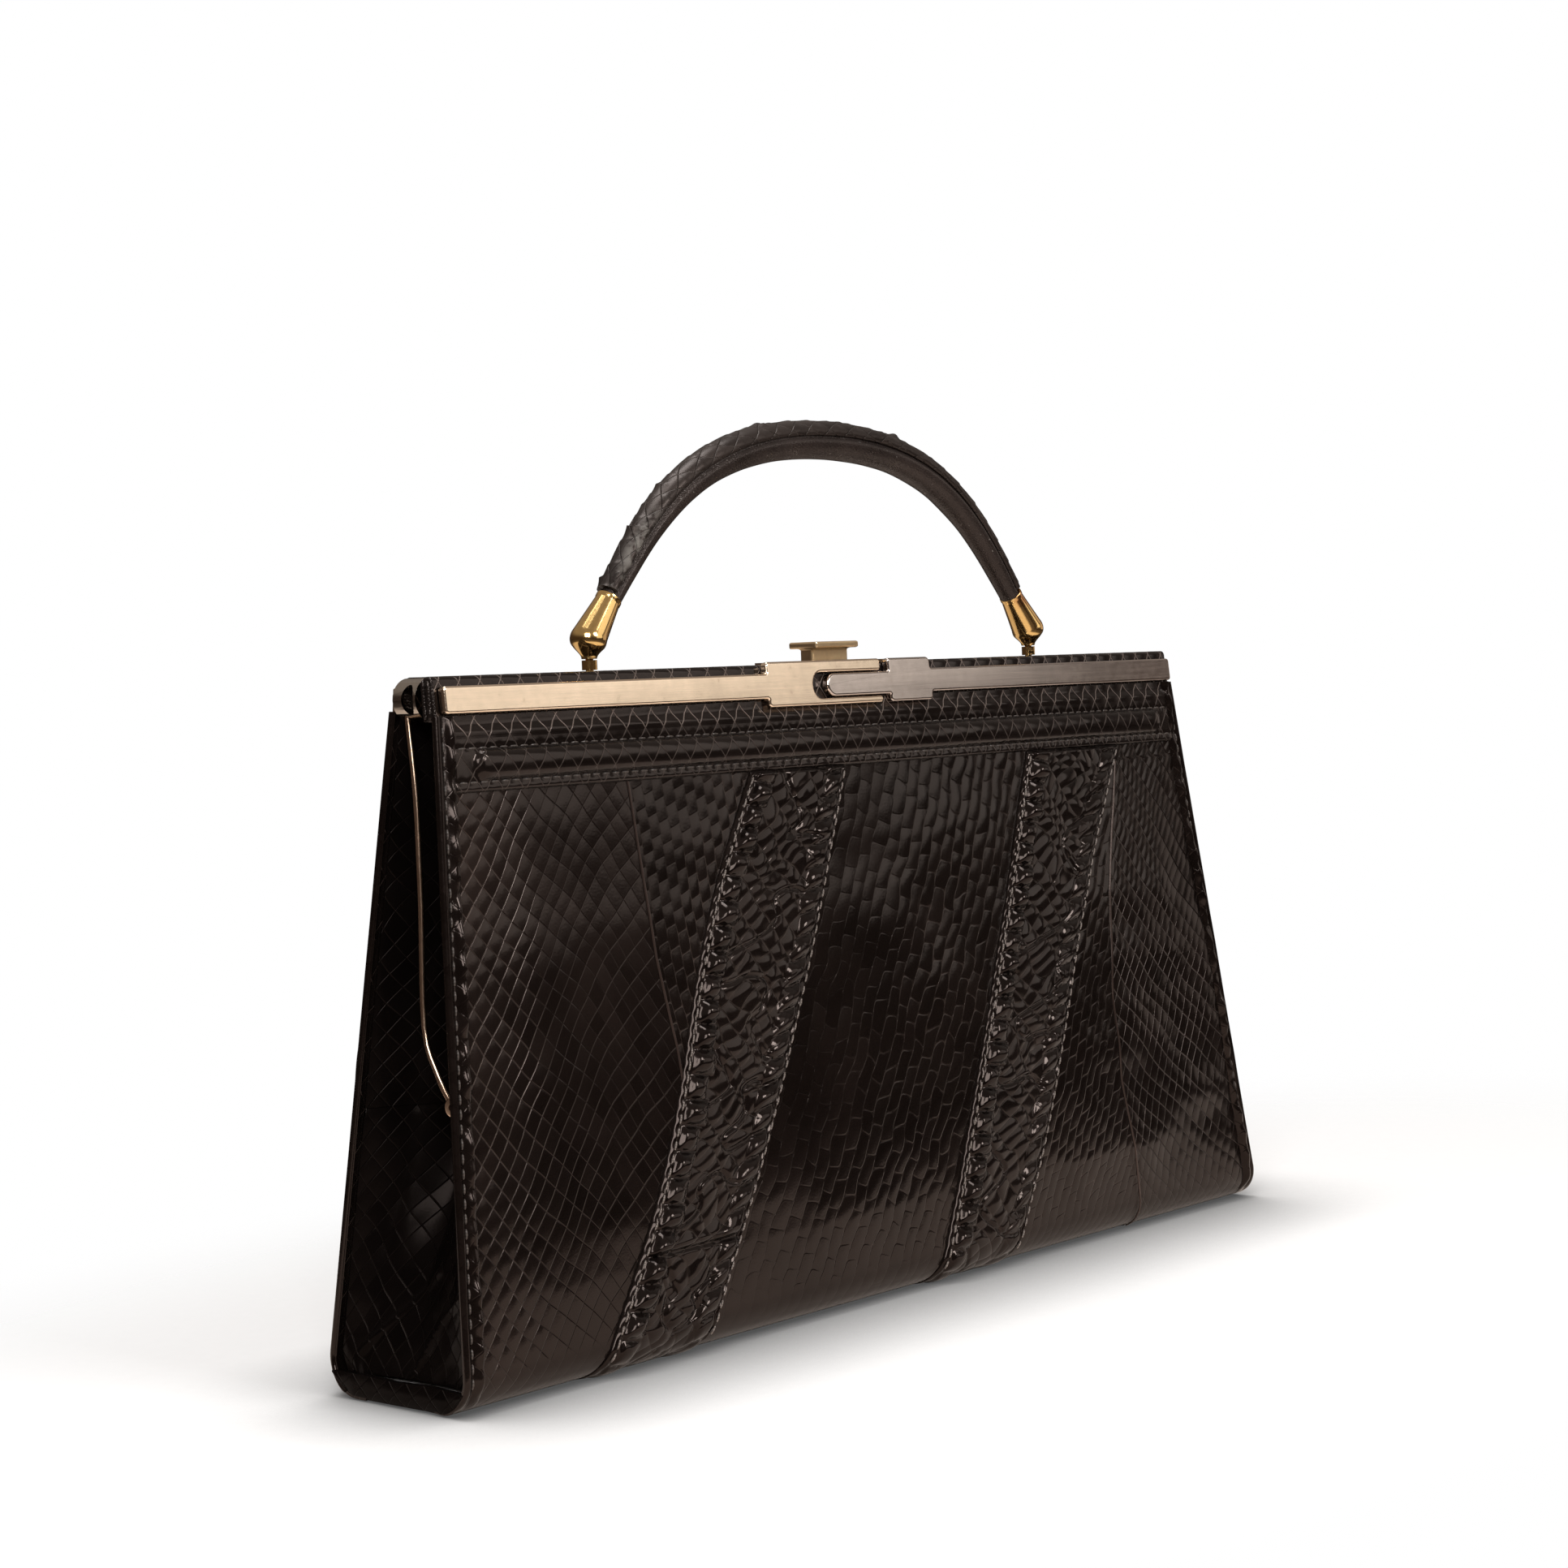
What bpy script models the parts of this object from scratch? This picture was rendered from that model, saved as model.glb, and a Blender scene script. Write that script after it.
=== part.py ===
"""Frame clutch bag: slanted leather body, hinged front frame on wire stays, arched top handle.

Metres, +Z up. The front faces -Y and +X is the bag's right-hand end seen from the front.
The origin is the middle of the base, on the surface that the bag stands on.
"""
import math

import bmesh
import bpy
from mathutils import Matrix, Vector

# Body
FRAME_TOP = 0.1708
HALF_WIDTH_TOP = 0.1530
HALF_WIDTH_BASE = 0.1680
FACE_DEPTH_TOP = 0.0068
FACE_DEPTH_BASE = 0.0245
PANEL_THICKNESS = 0.0010
PANEL_EDGE_ROUND = 0.0003
TOUCH = 0.0003

# Base
TRAY_HEIGHT = 0.0100
TRAY_WALL = 0.0016
TRAY_FRONT_CORNER = 0.0080
TRAY_REAR_CORNER = 0.0095
TRAY_END_HEIGHT = 0.0055
BOARD_THICKNESS = 0.0018
BOARD_REACH = 0.0015
LINING_THICKNESS = 0.0005
LINING_INSET = 0.0016

# Top frame
COVER_DROP = 0.0108
COVER_THICKNESS = 0.0007
COVER_ROUND = 0.0012
PARTING_Y = -0.0033
PARTING_GAP = 0.0004
FRONT_COVER_INSET = 0.0007
REAR_COVER_INSET = 0.0046
RAIL_SHEET = 0.0010
RAIL_DROP = 0.0099
RAIL_ROUND = 0.0012

# Front frame bar and its pivots
PIVOT_Z = 0.0700
PIVOT_SETBACK = 0.004646
PIVOT_INSET = 0.00765
BAR_TOP_SETBACK = 0.0015
BAR_TOP_DROP = 0.0011
BAR_WIDTH = 0.0030
BAR_THICKNESS = 0.0015
BAR_TOP_INSET = 0.0044
BAR_CORNER = 0.0060
BAR_FOOT_RISE = 0.00105
BOSS_RADIUS = 0.0021
BOSS_THICKNESS = 0.0016
RIVET_RADIUS = 0.0011
RIVET_BORE = 0.0007
RIVET_HEAD_RADIUS = 0.00235
RIVET_HEAD_HEIGHT = 0.0008
RIVET_CROWN = (0.8, 0.4)
PIVOT_CLEARANCE = 0.00015
FOLD_HALF_HEIGHT = 0.0024

# Stay wires and end boxes
WIRE_RADIUS = 0.0008
EYE_RADIUS = 0.0022
EYE_THICKNESS = 0.0012
BOX_RADIUS = 0.0052
BOX_WALL = 0.0007
BOX_CENTRE_DROP = 0.0053
BOX_WINDOW_Y = 0.0021
BOX_WINDOW_Z = 0.0036
WIRE_TOP_Y = 0.0034
WIRE_TOP_INSET = 0.0026
WIRE_TAIL = 0.0020

# Wire bends from the top: distance in front of the box bore, share of the drop to the pivot
WIRE_BENDS = ((0.0026, 0.80), (0.0042, 0.52), (0.0052, 0.20))
WIRE_LOWER_BEND = (0.0060, 0.075)
WIRE_EYE_ENTRY = (0.00176, 0.00077)

# Gussets
GUSSET_THICKNESS = 0.0008
GUSSET_VALLEY_TOP = 0.0280
GUSSET_VALLEY_PIVOT = 0.0110
GUSSET_FLAP_X = 0.5
GUSSET_FLAP_Y = 0.575
GUSSET_ROWS = 9
GUSSET_FOOT_SHARE = 0.87

# Yoke and gathered bands on the front
YOKE_BOTTOM = 0.1430
YOKE_TOP = 0.1588
YOKE_THICKNESS = 0.0006
RIDGE_CENTRE = 0.1494
RIDGE_HALF_HEIGHT = 0.0037
RIDGE_RISE = 0.0019
RIDGE_INSET = 0.0100
RIDGE_STEPS = (-1.0, -0.8, -0.45, 0.0, 0.45, 0.8, 1.0)
YOKE_COLUMNS = 22
BAND_EDGE_HEIGHT = 0.0012
BAND_VALLEY_HEIGHT = 0.00072
BAND_DOME = 0.0010
BAND_RIPPLE = 0.0003
RIPPLE_PITCH = 0.0085
RIPPLE_SLANT = 0.35
BAND_PIPING = (0.05, 0.95)
BAND_SECTION = (0.0, 0.05, 0.12, 0.36, 0.64, 0.88, 0.95, 1.0)

# Each seam: x at the yoke, x at the base, bow to one side, sway both ways
LEFT_BAND_SEAMS = ((-0.0449, -0.1165, 0.0, -0.0030), (-0.0080, -0.0810, 0.0030, 0.0))
RIGHT_BAND_SEAMS = ((0.0758, 0.0132, 0.0, 0.0), (0.1200, 0.0465, -0.0030, -0.0015))

# Clasp trim
TRIM_THICKNESS = 0.0020
TRIM_INSET = 0.0018
TRIM_BOTTOM = 0.1616
TRIM_TOP = 0.1683
CLASP_LEFT = -0.0366
CLASP_RIGHT = 0.0106
CLASP_BOTTOM = 0.1593
SLOT_LEFT = -0.0183
TONGUE_LEFT = -0.0124
PLATE_LEFT = 0.0140
PLATE_RIGHT = 0.0325
SLOT_BOTTOM = 0.1612
SLOT_TOP = 0.1681
LIP_THICKNESS = 0.0005
TRIM_CORNER = 0.0018
TRIM_BEVEL = 0.0004
REAR_TRIM_THICKNESS = 0.0013

# Handle
POST_X = 0.0923
POST_Y = 0.0008
POST_STEM_RADIUS = 0.00195
POST_STEM_HEIGHT = 0.0028
POST_PEG_RADIUS = 0.0010
POST_PEG_HEIGHT = 0.0026
POST_TAIL_HEAD = 0.0016
POST_TAIL_HEAD_HEIGHT = 0.0008
FERRULE_AXIS_X = 0.0934
FERRULE_AXIS_RISE = 0.0067
FERRULE_LEAN = math.radians(38.0)
FERRULE_LENGTH = 0.0146
FERRULE_RIM_RADIUS = 0.0033
FERRULE_WALL = 0.00045
FERRULE_SOCKET_DEPTH = 0.0034
FERRULE_SEGMENTS = 28

# Ferrule foot, from the stem up: inner and outer edge, each out from the post and above the frame
FERRULE_FOOT = (((-0.00195, 0.0031), (0.00195, 0.0031)), ((-0.0022, 0.0039), (0.0021, 0.0040)),
                ((-0.0030, 0.0047), (0.0030, 0.0051)), ((-0.0034, 0.0050), (0.0039, 0.0062)),
                ((-0.00395, 0.0055), (0.0049, 0.0079)), ((-0.0043, 0.0061), (0.0044, 0.0102)))

# Ferrule body: distance up its axis and radius
FERRULE_BODY = ((0.0035, 0.00445), (0.0090, 0.0038), (0.0134, 0.0033), (0.0138, 0.00343), (0.0146, 0.00343))

# Grip and its outer strip
GRIP_END_RADIUS = 0.0025
GRIP_MIDDLE_RADIUS = 0.0043
GRIP_APEX = 0.0607
GRIP_END_PULL = 0.0280
GRIP_APEX_PULL = 0.0500
STRIP_THICKNESS = 0.0007
STRIP_HALF_ANGLE = math.radians(75.0)
GRIP_TAPER = 1.7
HANDLE_STEPS = 28
STRIP_ARC_STEPS = 6
STRIP_SHARE = 0.975
TANGENT_SHARE = 0.01

# Release knob and latch
KNOB_Y = 0.0019
KNOB_CAP = (0.0180, 0.0100, 0.0018)
KNOB_STEM = (0.0150, 0.0044)
KNOB_RISE = 0.0041
KNOB_BEVEL = 0.0005
SLOT_CLEARANCE = 0.0003
CATCH_PLATE = (0.0176, 0.0044, 0.0011)
CATCH_ARM = (0.0024, 0.0010, 0.0120)
CATCH_NOSE_WIDTH = 0.0032
CATCH_NOSE_HEIGHT = 0.0012
CATCH_NOSE_REACH = 0.0069
BRIDGE_HALF_LENGTH = 0.0060
BRIDGE_THICKNESS = 0.0010
SPRING_WIRE = 0.00025
SPRING_RADIUS = 0.0021
SPRING_TURNS = 4
KNOB_TRAVEL = 0.0018
KEEPER_HALF_WIDTH = 0.0045
KEEPER_THICKNESS = 0.0007
KEEPER_WINDOW_MARGIN = 0.0005

FRONT, REAR = -1, 1
LEFT, RIGHT = -1, 1

LEAN = math.atan2(FACE_DEPTH_BASE - FACE_DEPTH_TOP, FRAME_TOP)


def face_depth(z):
    return FACE_DEPTH_BASE + (FACE_DEPTH_TOP - FACE_DEPTH_BASE) * z / FRAME_TOP


def half_width(z):
    return HALF_WIDTH_BASE + (HALF_WIDTH_TOP - HALF_WIDTH_BASE) * z / FRAME_TOP


# Values that follow from the dimensions above
FRONT_COVER_HALF = HALF_WIDTH_TOP - FRONT_COVER_INSET
REAR_COVER_HALF = HALF_WIDTH_TOP - REAR_COVER_INSET
TRIM_HALF_LENGTH = HALF_WIDTH_TOP - TRIM_INSET
RIDGE_HALF_LENGTH = HALF_WIDTH_TOP - RIDGE_INSET
BAR_TOP_X = HALF_WIDTH_TOP - BAR_TOP_INSET
BAR_TOP_Y = BAR_TOP_SETBACK - FACE_DEPTH_TOP
PIVOT_X = half_width(PIVOT_Z) - PIVOT_INSET
PIVOT_Y = PIVOT_SETBACK - face_depth(PIVOT_Z)
PANEL_BOTTOM = TRAY_HEIGHT + TOUCH
COVER_BOTTOM = FRAME_TOP - COVER_DROP
PANEL_TOP = COVER_BOTTOM - TOUCH
LINING_OUTER = -PANEL_THICKNESS - TOUCH
LINING_INNER = LINING_OUTER - LINING_THICKNESS
FOLD_TOP = PIVOT_Z + FOLD_HALF_HEIGHT
FOLD_BOTTOM = PIVOT_Z - FOLD_HALF_HEIGHT
GUSSET_FOOT = TRAY_END_HEIGHT + TOUCH
RAIL_LEFT = PARTING_Y + PARTING_GAP / 2 + COVER_THICKNESS + TOUCH
RAIL_RIGHT = FACE_DEPTH_TOP - COVER_THICKNESS - TOUCH
RAIL_TOP = FRAME_TOP - COVER_THICKNESS - TOUCH
RAIL_BOTTOM = FRAME_TOP - RAIL_DROP
BAR_TOP = FRAME_TOP - BAR_TOP_DROP
BAR_PLANE = math.atan2(BAR_TOP_Y - PIVOT_Y, BAR_TOP - BAR_WIDTH / 2 - PIVOT_Z)
BOX_X = REAR_COVER_HALF + TOUCH
BOX_Z = FRAME_TOP - BOX_CENTRE_DROP
EYE_INNER = PIVOT_X + BOSS_THICKNESS / 2 + TOUCH
EYE_OUTER = EYE_INNER + EYE_THICKNESS
LIP_BOTTOM = FRAME_TOP + TOUCH
LIP_TOP = LIP_BOTTOM + LIP_THICKNESS
CATCH_TOP = RAIL_TOP - RAIL_SHEET - TOUCH
CATCH_PLATE_BOTTOM = CATCH_TOP - CATCH_PLATE[2]
FERRULE_AXIS_Z = FRAME_TOP + FERRULE_AXIS_RISE
TRAY_HALF_LENGTH = half_width(TRAY_HEIGHT)
TRAY_HALF_DEPTH = face_depth(TRAY_HEIGHT)
NOSE_BOTTOM = CATCH_PLATE_BOTTOM - CATCH_ARM[2]
KEEPER_BOTTOM = NOSE_BOTTOM - KNOB_TRAVEL - 2 * KEEPER_WINDOW_MARGIN - KEEPER_THICKNESS

COLOURS = {
    "snakeskin": ((0.020, 0.018, 0.018), 0.28, 0.0),
    "smooth_leather": ((0.030, 0.026, 0.025), 0.38, 0.0),
    "lining": ((0.060, 0.050, 0.048), 0.80, 0.0),
    "board": ((0.300, 0.240, 0.170), 0.85, 0.0),
    "champagne": ((0.720, 0.600, 0.390), 0.22, 1.0),
    "silver": ((0.760, 0.750, 0.720), 0.20, 1.0),
    "gold": ((0.800, 0.580, 0.260), 0.20, 1.0),
    "steel": ((0.450, 0.450, 0.460), 0.35, 1.0),
}


def clear_scene():
    for old in list(bpy.data.objects):
        bpy.data.objects.remove(old, do_unlink=True)


clear_scene()
PARTS = bpy.data.collections.new("clutch_bag")
CUTTERS = bpy.data.collections.new("cutters")
bpy.context.scene.collection.children.link(PARTS)
bpy.context.scene.collection.children.link(CUTTERS)


def material(slot):
    found = bpy.data.materials.get(slot)
    if found:
        return found
    colour, roughness, metallic = COLOURS[slot]
    made = bpy.data.materials.new(slot)
    made.use_nodes = True
    shader = made.node_tree.nodes["Principled BSDF"]
    shader.inputs["Base Color"].default_value = (*colour, 1.0)
    shader.inputs["Roughness"].default_value = roughness
    shader.inputs["Metallic"].default_value = metallic
    made.diffuse_color = (*colour, 1.0)
    return made


def add_part(name, mesh, slot, origin=None):
    part = bpy.data.objects.new(name, mesh)
    PARTS.objects.link(part)
    mesh.materials.clear()
    mesh.materials.append(material(slot))
    if origin is not None:
        mesh.transform(Matrix.Translation(-Vector(origin)))
        part.location = origin
    return part


def add_cutter(name, mesh):
    cutter = bpy.data.objects.new(name, mesh)
    CUTTERS.objects.link(cutter)
    cutter.hide_render = True
    cutter.display_type = "WIRE"
    return cutter


def shade(part, angle=35.0):
    part.data.shade_smooth()
    part.data.set_sharp_from_angle(angle=math.radians(angle))
    return part


def solid_mesh(name, points, faces):
    """Closed mesh from points and faces, with its faces turned outwards."""
    shape = bmesh.new()
    verts = [shape.verts.new(point) for point in points]
    for face in faces:
        shape.faces.new([verts[index] for index in face])
    bmesh.ops.recalc_face_normals(shape, faces=shape.faces)
    mesh = bpy.data.meshes.new(name)
    shape.to_mesh(mesh)
    shape.free()
    return mesh


def loft_mesh(name, rings):
    """Solid through rings of points, each ring as long as the others."""
    count = len(rings[0])
    points = [point for ring in rings for point in ring]
    faces = [tuple(range(count)), tuple(range(len(points) - count, len(points)))]
    for row in range(len(rings) - 1):
        for column in range(count):
            here = row * count + column
            beside = row * count + (column + 1) % count
            faces.append((here, beside, beside + count, here + count))
    return solid_mesh(name, points, faces)


def prism_mesh(name, outline, place, near, far):
    """Solid between two copies of a flat outline; place turns (a, b, c) into a point."""
    return loft_mesh(name, [[place(a, b, near) for a, b in outline],
                            [place(a, b, far) for a, b in outline]])


def box_mesh(name, low, high):
    shape = bmesh.new()
    bmesh.ops.create_cube(shape, size=1.0)
    low, high = Vector(low), Vector(high)
    size = high - low
    bmesh.ops.scale(shape, vec=size, verts=shape.verts)
    bmesh.ops.translate(shape, vec=(low + high) / 2, verts=shape.verts)
    mesh = bpy.data.meshes.new(name)
    shape.to_mesh(mesh)
    shape.free()
    return mesh


def cylinder_mesh(name, start, end, radius, segments=24):
    start, end = Vector(start), Vector(end)
    axis = end - start
    turn = axis.to_track_quat("Z", "Y").to_matrix().to_4x4()
    shape = bmesh.new()
    bmesh.ops.create_cone(shape, cap_ends=True, segments=segments, radius1=radius, radius2=radius,
                          depth=axis.length, matrix=Matrix.Translation((start + end) / 2) @ turn)
    mesh = bpy.data.meshes.new(name)
    shape.to_mesh(mesh)
    shape.free()
    return mesh


def turned_part(name, profile, slot, place, steps=24, closed=False):
    """Turned piece: profile of (radius, height) down its outer side, then back up a bore."""
    mesh = bpy.data.meshes.new(name)
    points = [(radius, 0.0, height) for radius, height in profile]
    edges = [(index, index + 1) for index in range(len(points) - 1)]
    if closed:
        edges.append((len(points) - 1, 0))
    mesh.from_pydata(points, edges, [])
    part = add_part(name, mesh, slot)
    screw = part.modifiers.new("turn", "SCREW")
    screw.axis = "Z"
    screw.steps = steps
    screw.render_steps = steps
    screw.use_merge_vertices = True
    screw.merge_threshold = 0.00001
    screw.use_smooth_shade = True
    part.matrix_world = place
    return part


def change(part, cutter, operation):
    boolean = part.modifiers.new(operation.lower(), "BOOLEAN")
    boolean.operation = operation
    boolean.solver = "EXACT"
    boolean.object = cutter
    return part


def cut(part, mesh):
    return change(part, add_cutter(part.name + "_cut", mesh), "DIFFERENCE")


def fuse(part, mesh):
    return change(part, add_cutter(part.name + "_joined", mesh), "UNION")


def round_edges(part, width, segments=2, angle=30.0):
    bevel = part.modifiers.new("round", "BEVEL")
    bevel.width = width
    bevel.segments = segments
    bevel.limit_method = "ANGLE"
    bevel.angle_limit = math.radians(angle)
    return part


def arc(centre, radius, start, end, steps=6):
    """Points along an arc, angles in degrees."""
    points = []
    for step in range(steps + 1):
        angle = math.radians(start + (end - start) * step / steps)
        points.append((centre[0] + radius * math.cos(angle), centre[1] + radius * math.sin(angle)))
    return points


def smooth_path(points, per_span):
    """Points along a smooth curve through the given points."""
    padded = [points[0] * 2 - points[1]] + points + [points[-1] * 2 - points[-2]]
    path = []
    for index in range(1, len(padded) - 2):
        before, start, end, after = padded[index - 1:index + 3]
        for step in range(per_span):
            t = step / per_span
            path.append(0.5 * (2 * start + (end - before) * t
                               + (2 * before - 5 * start + 4 * end - after) * t * t
                               + (3 * start - before - 3 * end + after) * t ** 3))
    return path + [points[-1]]


def wire_mesh(name, points, radii, sides_resolution):
    """Round bar along points, as a closed mesh in world coordinates."""
    curve = bpy.data.curves.new(name, "CURVE")
    curve.dimensions = "3D"
    curve.bevel_depth = 1.0
    curve.bevel_resolution = sides_resolution
    curve.use_fill_caps = True
    spline = curve.splines.new("POLY")
    spline.points.add(len(points) - 1)
    for knot, point, radius in zip(spline.points, points, radii):
        knot.co = (*point, 1.0)
        knot.radius = radius
    holder = bpy.data.objects.new(name + "_curve", curve)
    CUTTERS.objects.link(holder)
    graph = bpy.context.evaluated_depsgraph_get()
    mesh = bpy.data.meshes.new_from_object(holder.evaluated_get(graph))
    bpy.data.objects.remove(holder)
    shape = bmesh.new()
    shape.from_mesh(mesh)
    bmesh.ops.remove_doubles(shape, verts=shape.verts, dist=0.000001)
    bmesh.ops.recalc_face_normals(shape, faces=shape.faces)
    shape.to_mesh(mesh)
    shape.free()
    mesh.name = name
    return mesh


# Shape of the body


def on_face(side, x, z, out=0.0):
    """Point on the front or rear face plane, moved outwards by out."""
    return Vector((x, side * (face_depth(z) + out * math.cos(LEAN)), z + out * math.sin(LEAN)))


def leg_x(z):
    """Centre line of the front frame's leg, straight from the top bar to the pivot."""
    share = (z - PIVOT_Z) / (FRAME_TOP - BAR_TOP_DROP - BAR_WIDTH / 2 - PIVOT_Z)
    return PIVOT_X + (BAR_TOP_X - PIVOT_X) * share


def seam_x(seam, z):
    top, base, bow, sway = seam
    share = (YOKE_BOTTOM - z) / (YOKE_BOTTOM - TRAY_HEIGHT)
    turn = math.pi * share
    return top + (base - top) * share + bow * math.sin(turn) + sway * math.sin(2 * turn)


def slab(name, side, width_of, bottom, top, outer, inner, slot):
    """Flat panel between two heights, between two offsets from the face plane."""
    rings = []
    for z in (bottom, top):
        w = width_of(z)
        rings.append([on_face(side, -w, z, inner), on_face(side, w, z, inner),
                      on_face(side, w, z, outer), on_face(side, -w, z, outer)])
    return add_part(name, loft_mesh(name, rings), slot)


def tray_outline(inset, floor):
    """Tray section in the YZ plane with rounded lower corners, cut off level at the floor."""
    y = TRAY_HALF_DEPTH - inset
    top = TRAY_HEIGHT + inset
    outline = [(-y, top)]
    for side, corner in ((FRONT, TRAY_FRONT_CORNER), (REAR, TRAY_REAR_CORNER)):
        radius = corner - inset
        dip = math.degrees(math.asin((corner - floor) / radius))
        start, end = (180.0, 180.0 + dip) if side == FRONT else (360.0 - dip, 360.0)
        outline += arc((side * (y - radius), corner), radius, start, end)
    return outline + [(y, top)]


def base_tray():
    """Leather base: rounded along the front and back, with lower walls at its ends."""
    half = TRAY_HALF_LENGTH
    mesh = prism_mesh("base_tray", tray_outline(0.0, 0.0), along_x, -half, half)
    part = add_part("base_tray", mesh, "smooth_leather")
    inside = half - TRAY_WALL
    cut(part, prism_mesh("tray_hollow", tray_outline(TRAY_WALL, TRAY_WALL), along_x, -inside, inside))
    beyond = half + TRAY_WALL
    cut(part, prism_mesh("tray_ends", tray_outline(TRAY_WALL, TRAY_END_HEIGHT), along_x, -beyond, beyond))
    return shade(part)


def base_sheet(name, bottom, thickness, slot):
    """Flat sheet inside the tray's rounded corners."""
    x = TRAY_HALF_LENGTH - TRAY_WALL - 2 * TOUCH
    front = TRAY_FRONT_CORNER - BOARD_REACH - TRAY_HALF_DEPTH
    rear = TRAY_HALF_DEPTH - TRAY_REAR_CORNER + BOARD_REACH
    return add_part(name, box_mesh(name, (-x, front, bottom), (x, rear, bottom + thickness)), slot)


def base_board():
    """Stiff board that keeps the base flat."""
    return base_sheet("base_board", TRAY_WALL + TOUCH, BOARD_THICKNESS, "board")


def base_lining():
    bottom = TRAY_WALL + TOUCH + BOARD_THICKNESS + TOUCH
    return base_sheet("lining_base", bottom, LINING_THICKNESS, "lining")


def panels():
    rear = slab("rear_panel", REAR, half_width, PANEL_BOTTOM, PANEL_TOP, 0.0, -PANEL_THICKNESS, "snakeskin")
    lower = slab("front_panel_lower", FRONT, half_width, PANEL_BOTTOM, FOLD_BOTTOM - TOUCH,
                 0.0, -PANEL_THICKNESS, "snakeskin")
    fold = slab("front_fold", FRONT, half_width, FOLD_BOTTOM, FOLD_TOP, 0.0, -PANEL_THICKNESS, "snakeskin")
    upper = slab("front_panel_upper", FRONT, half_width, FOLD_TOP + TOUCH, PANEL_TOP,
                 0.0, -PANEL_THICKNESS, "snakeskin")
    for part in (rear, lower, upper):
        round_edges(part, PANEL_EDGE_ROUND)
    return rear, lower, fold, upper


def linings():
    def between_legs(z):
        return leg_x(z) - BAR_WIDTH / 2 - TOUCH - LINING_INSET

    def inside_edges(z):
        return half_width(z) - 2 * LINING_INSET

    slab("lining_rear", REAR, inside_edges, PANEL_BOTTOM, PANEL_TOP - LINING_INSET,
         LINING_OUTER, LINING_INNER, "lining")
    slab("lining_front_lower", FRONT, between_legs, PANEL_BOTTOM, FOLD_BOTTOM - LINING_INSET,
         LINING_OUTER, LINING_INNER, "lining")
    slab("lining_front_upper", FRONT, between_legs, FOLD_TOP + LINING_INSET, KEEPER_BOTTOM - LINING_INSET,
         LINING_OUTER, LINING_INNER, "lining")


def yoke():
    """Band under the frame with a padded ridge between its two rows of stitching."""
    rows = []
    heights = [YOKE_BOTTOM, *[RIDGE_CENTRE + RIDGE_HALF_HEIGHT * step for step in RIDGE_STEPS], YOKE_TOP]
    for z in heights:
        across = min(1.0, abs(z - RIDGE_CENTRE) / RIDGE_HALF_HEIGHT)
        row = []
        for column in range(YOKE_COLUMNS + 1):
            x = (2 * column / YOKE_COLUMNS - 1) * (half_width(z) - TOUCH)
            end = max(0.0, 1.0 - abs(x) / RIDGE_HALF_LENGTH)
            full = min(1.0, math.sqrt(end * RIDGE_HALF_LENGTH / RIDGE_HALF_HEIGHT))
            rise = RIDGE_RISE * full * math.sqrt(max(0.0, 1.0 - across * across))
            row.append((x, z, TOUCH + YOKE_THICKNESS + rise))
        rows.append(row)
    return shade(add_part("yoke", relief_mesh("yoke", rows, TOUCH), "snakeskin"))


def relief_mesh(name, rows, seat):
    """Raised piece on the front face: rows of (x, z, height) over a flat underside at seat."""
    height = len(rows)
    width = len(rows[0])
    points = [on_face(FRONT, x, z, out) for row in rows for x, z, out in row]
    points += [on_face(FRONT, x, z, seat) for row in rows for x, z, out in row]
    under = height * width
    faces = []
    for r in range(height - 1):
        for c in range(width - 1):
            quad = (r * width + c, r * width + c + 1, (r + 1) * width + c + 1, (r + 1) * width + c)
            faces.append(quad)
            faces.append(tuple(under + index for index in reversed(quad)))
    rim = [c for c in range(width)]
    rim += [r * width + width - 1 for r in range(1, height)]
    rim += [(height - 1) * width + c for c in range(width - 2, -1, -1)]
    rim += [r * width for r in range(height - 2, 0, -1)]
    for index, here in enumerate(rim):
        beside = rim[(index + 1) % len(rim)]
        faces.append((here, beside, under + beside, under + here))
    return solid_mesh(name, points, faces)


def gathered_band(name, seams, bottom, top):
    """Raised, gathered band between two seams, domed across and rippled along its length."""
    steps = max(4, round((top - bottom) / (RIPPLE_PITCH / 3)))
    rows = []
    for step in range(steps + 1):
        z = bottom + (top - bottom) * step / steps
        left, right = seam_x(seams[0], z), seam_x(seams[1], z)
        row = []
        for share in BAND_SECTION:
            wave = math.sin(2 * math.pi * (z / RIPPLE_PITCH + RIPPLE_SLANT * share))
            dome = (BAND_DOME + BAND_RIPPLE * wave) * math.sin(math.pi * share)
            piping = BAND_EDGE_HEIGHT if share in BAND_PIPING else BAND_VALLEY_HEIGHT
            row.append((left + (right - left) * share, z, TOUCH + piping + dome))
        rows.append(row)
    return shade(add_part(name, relief_mesh(name, rows, TOUCH), "snakeskin"), 60.0)


def gathered_bands():
    for word, seams in (("left", LEFT_BAND_SEAMS), ("right", RIGHT_BAND_SEAMS)):
        gathered_band(f"gathered_band_{word}_lower", seams, PANEL_BOTTOM, FOLD_BOTTOM - TOUCH)
        gathered_band(f"gathered_band_{word}_upper", seams, FOLD_TOP + TOUCH, YOKE_BOTTOM - TOUCH)


# Gussets


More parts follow.
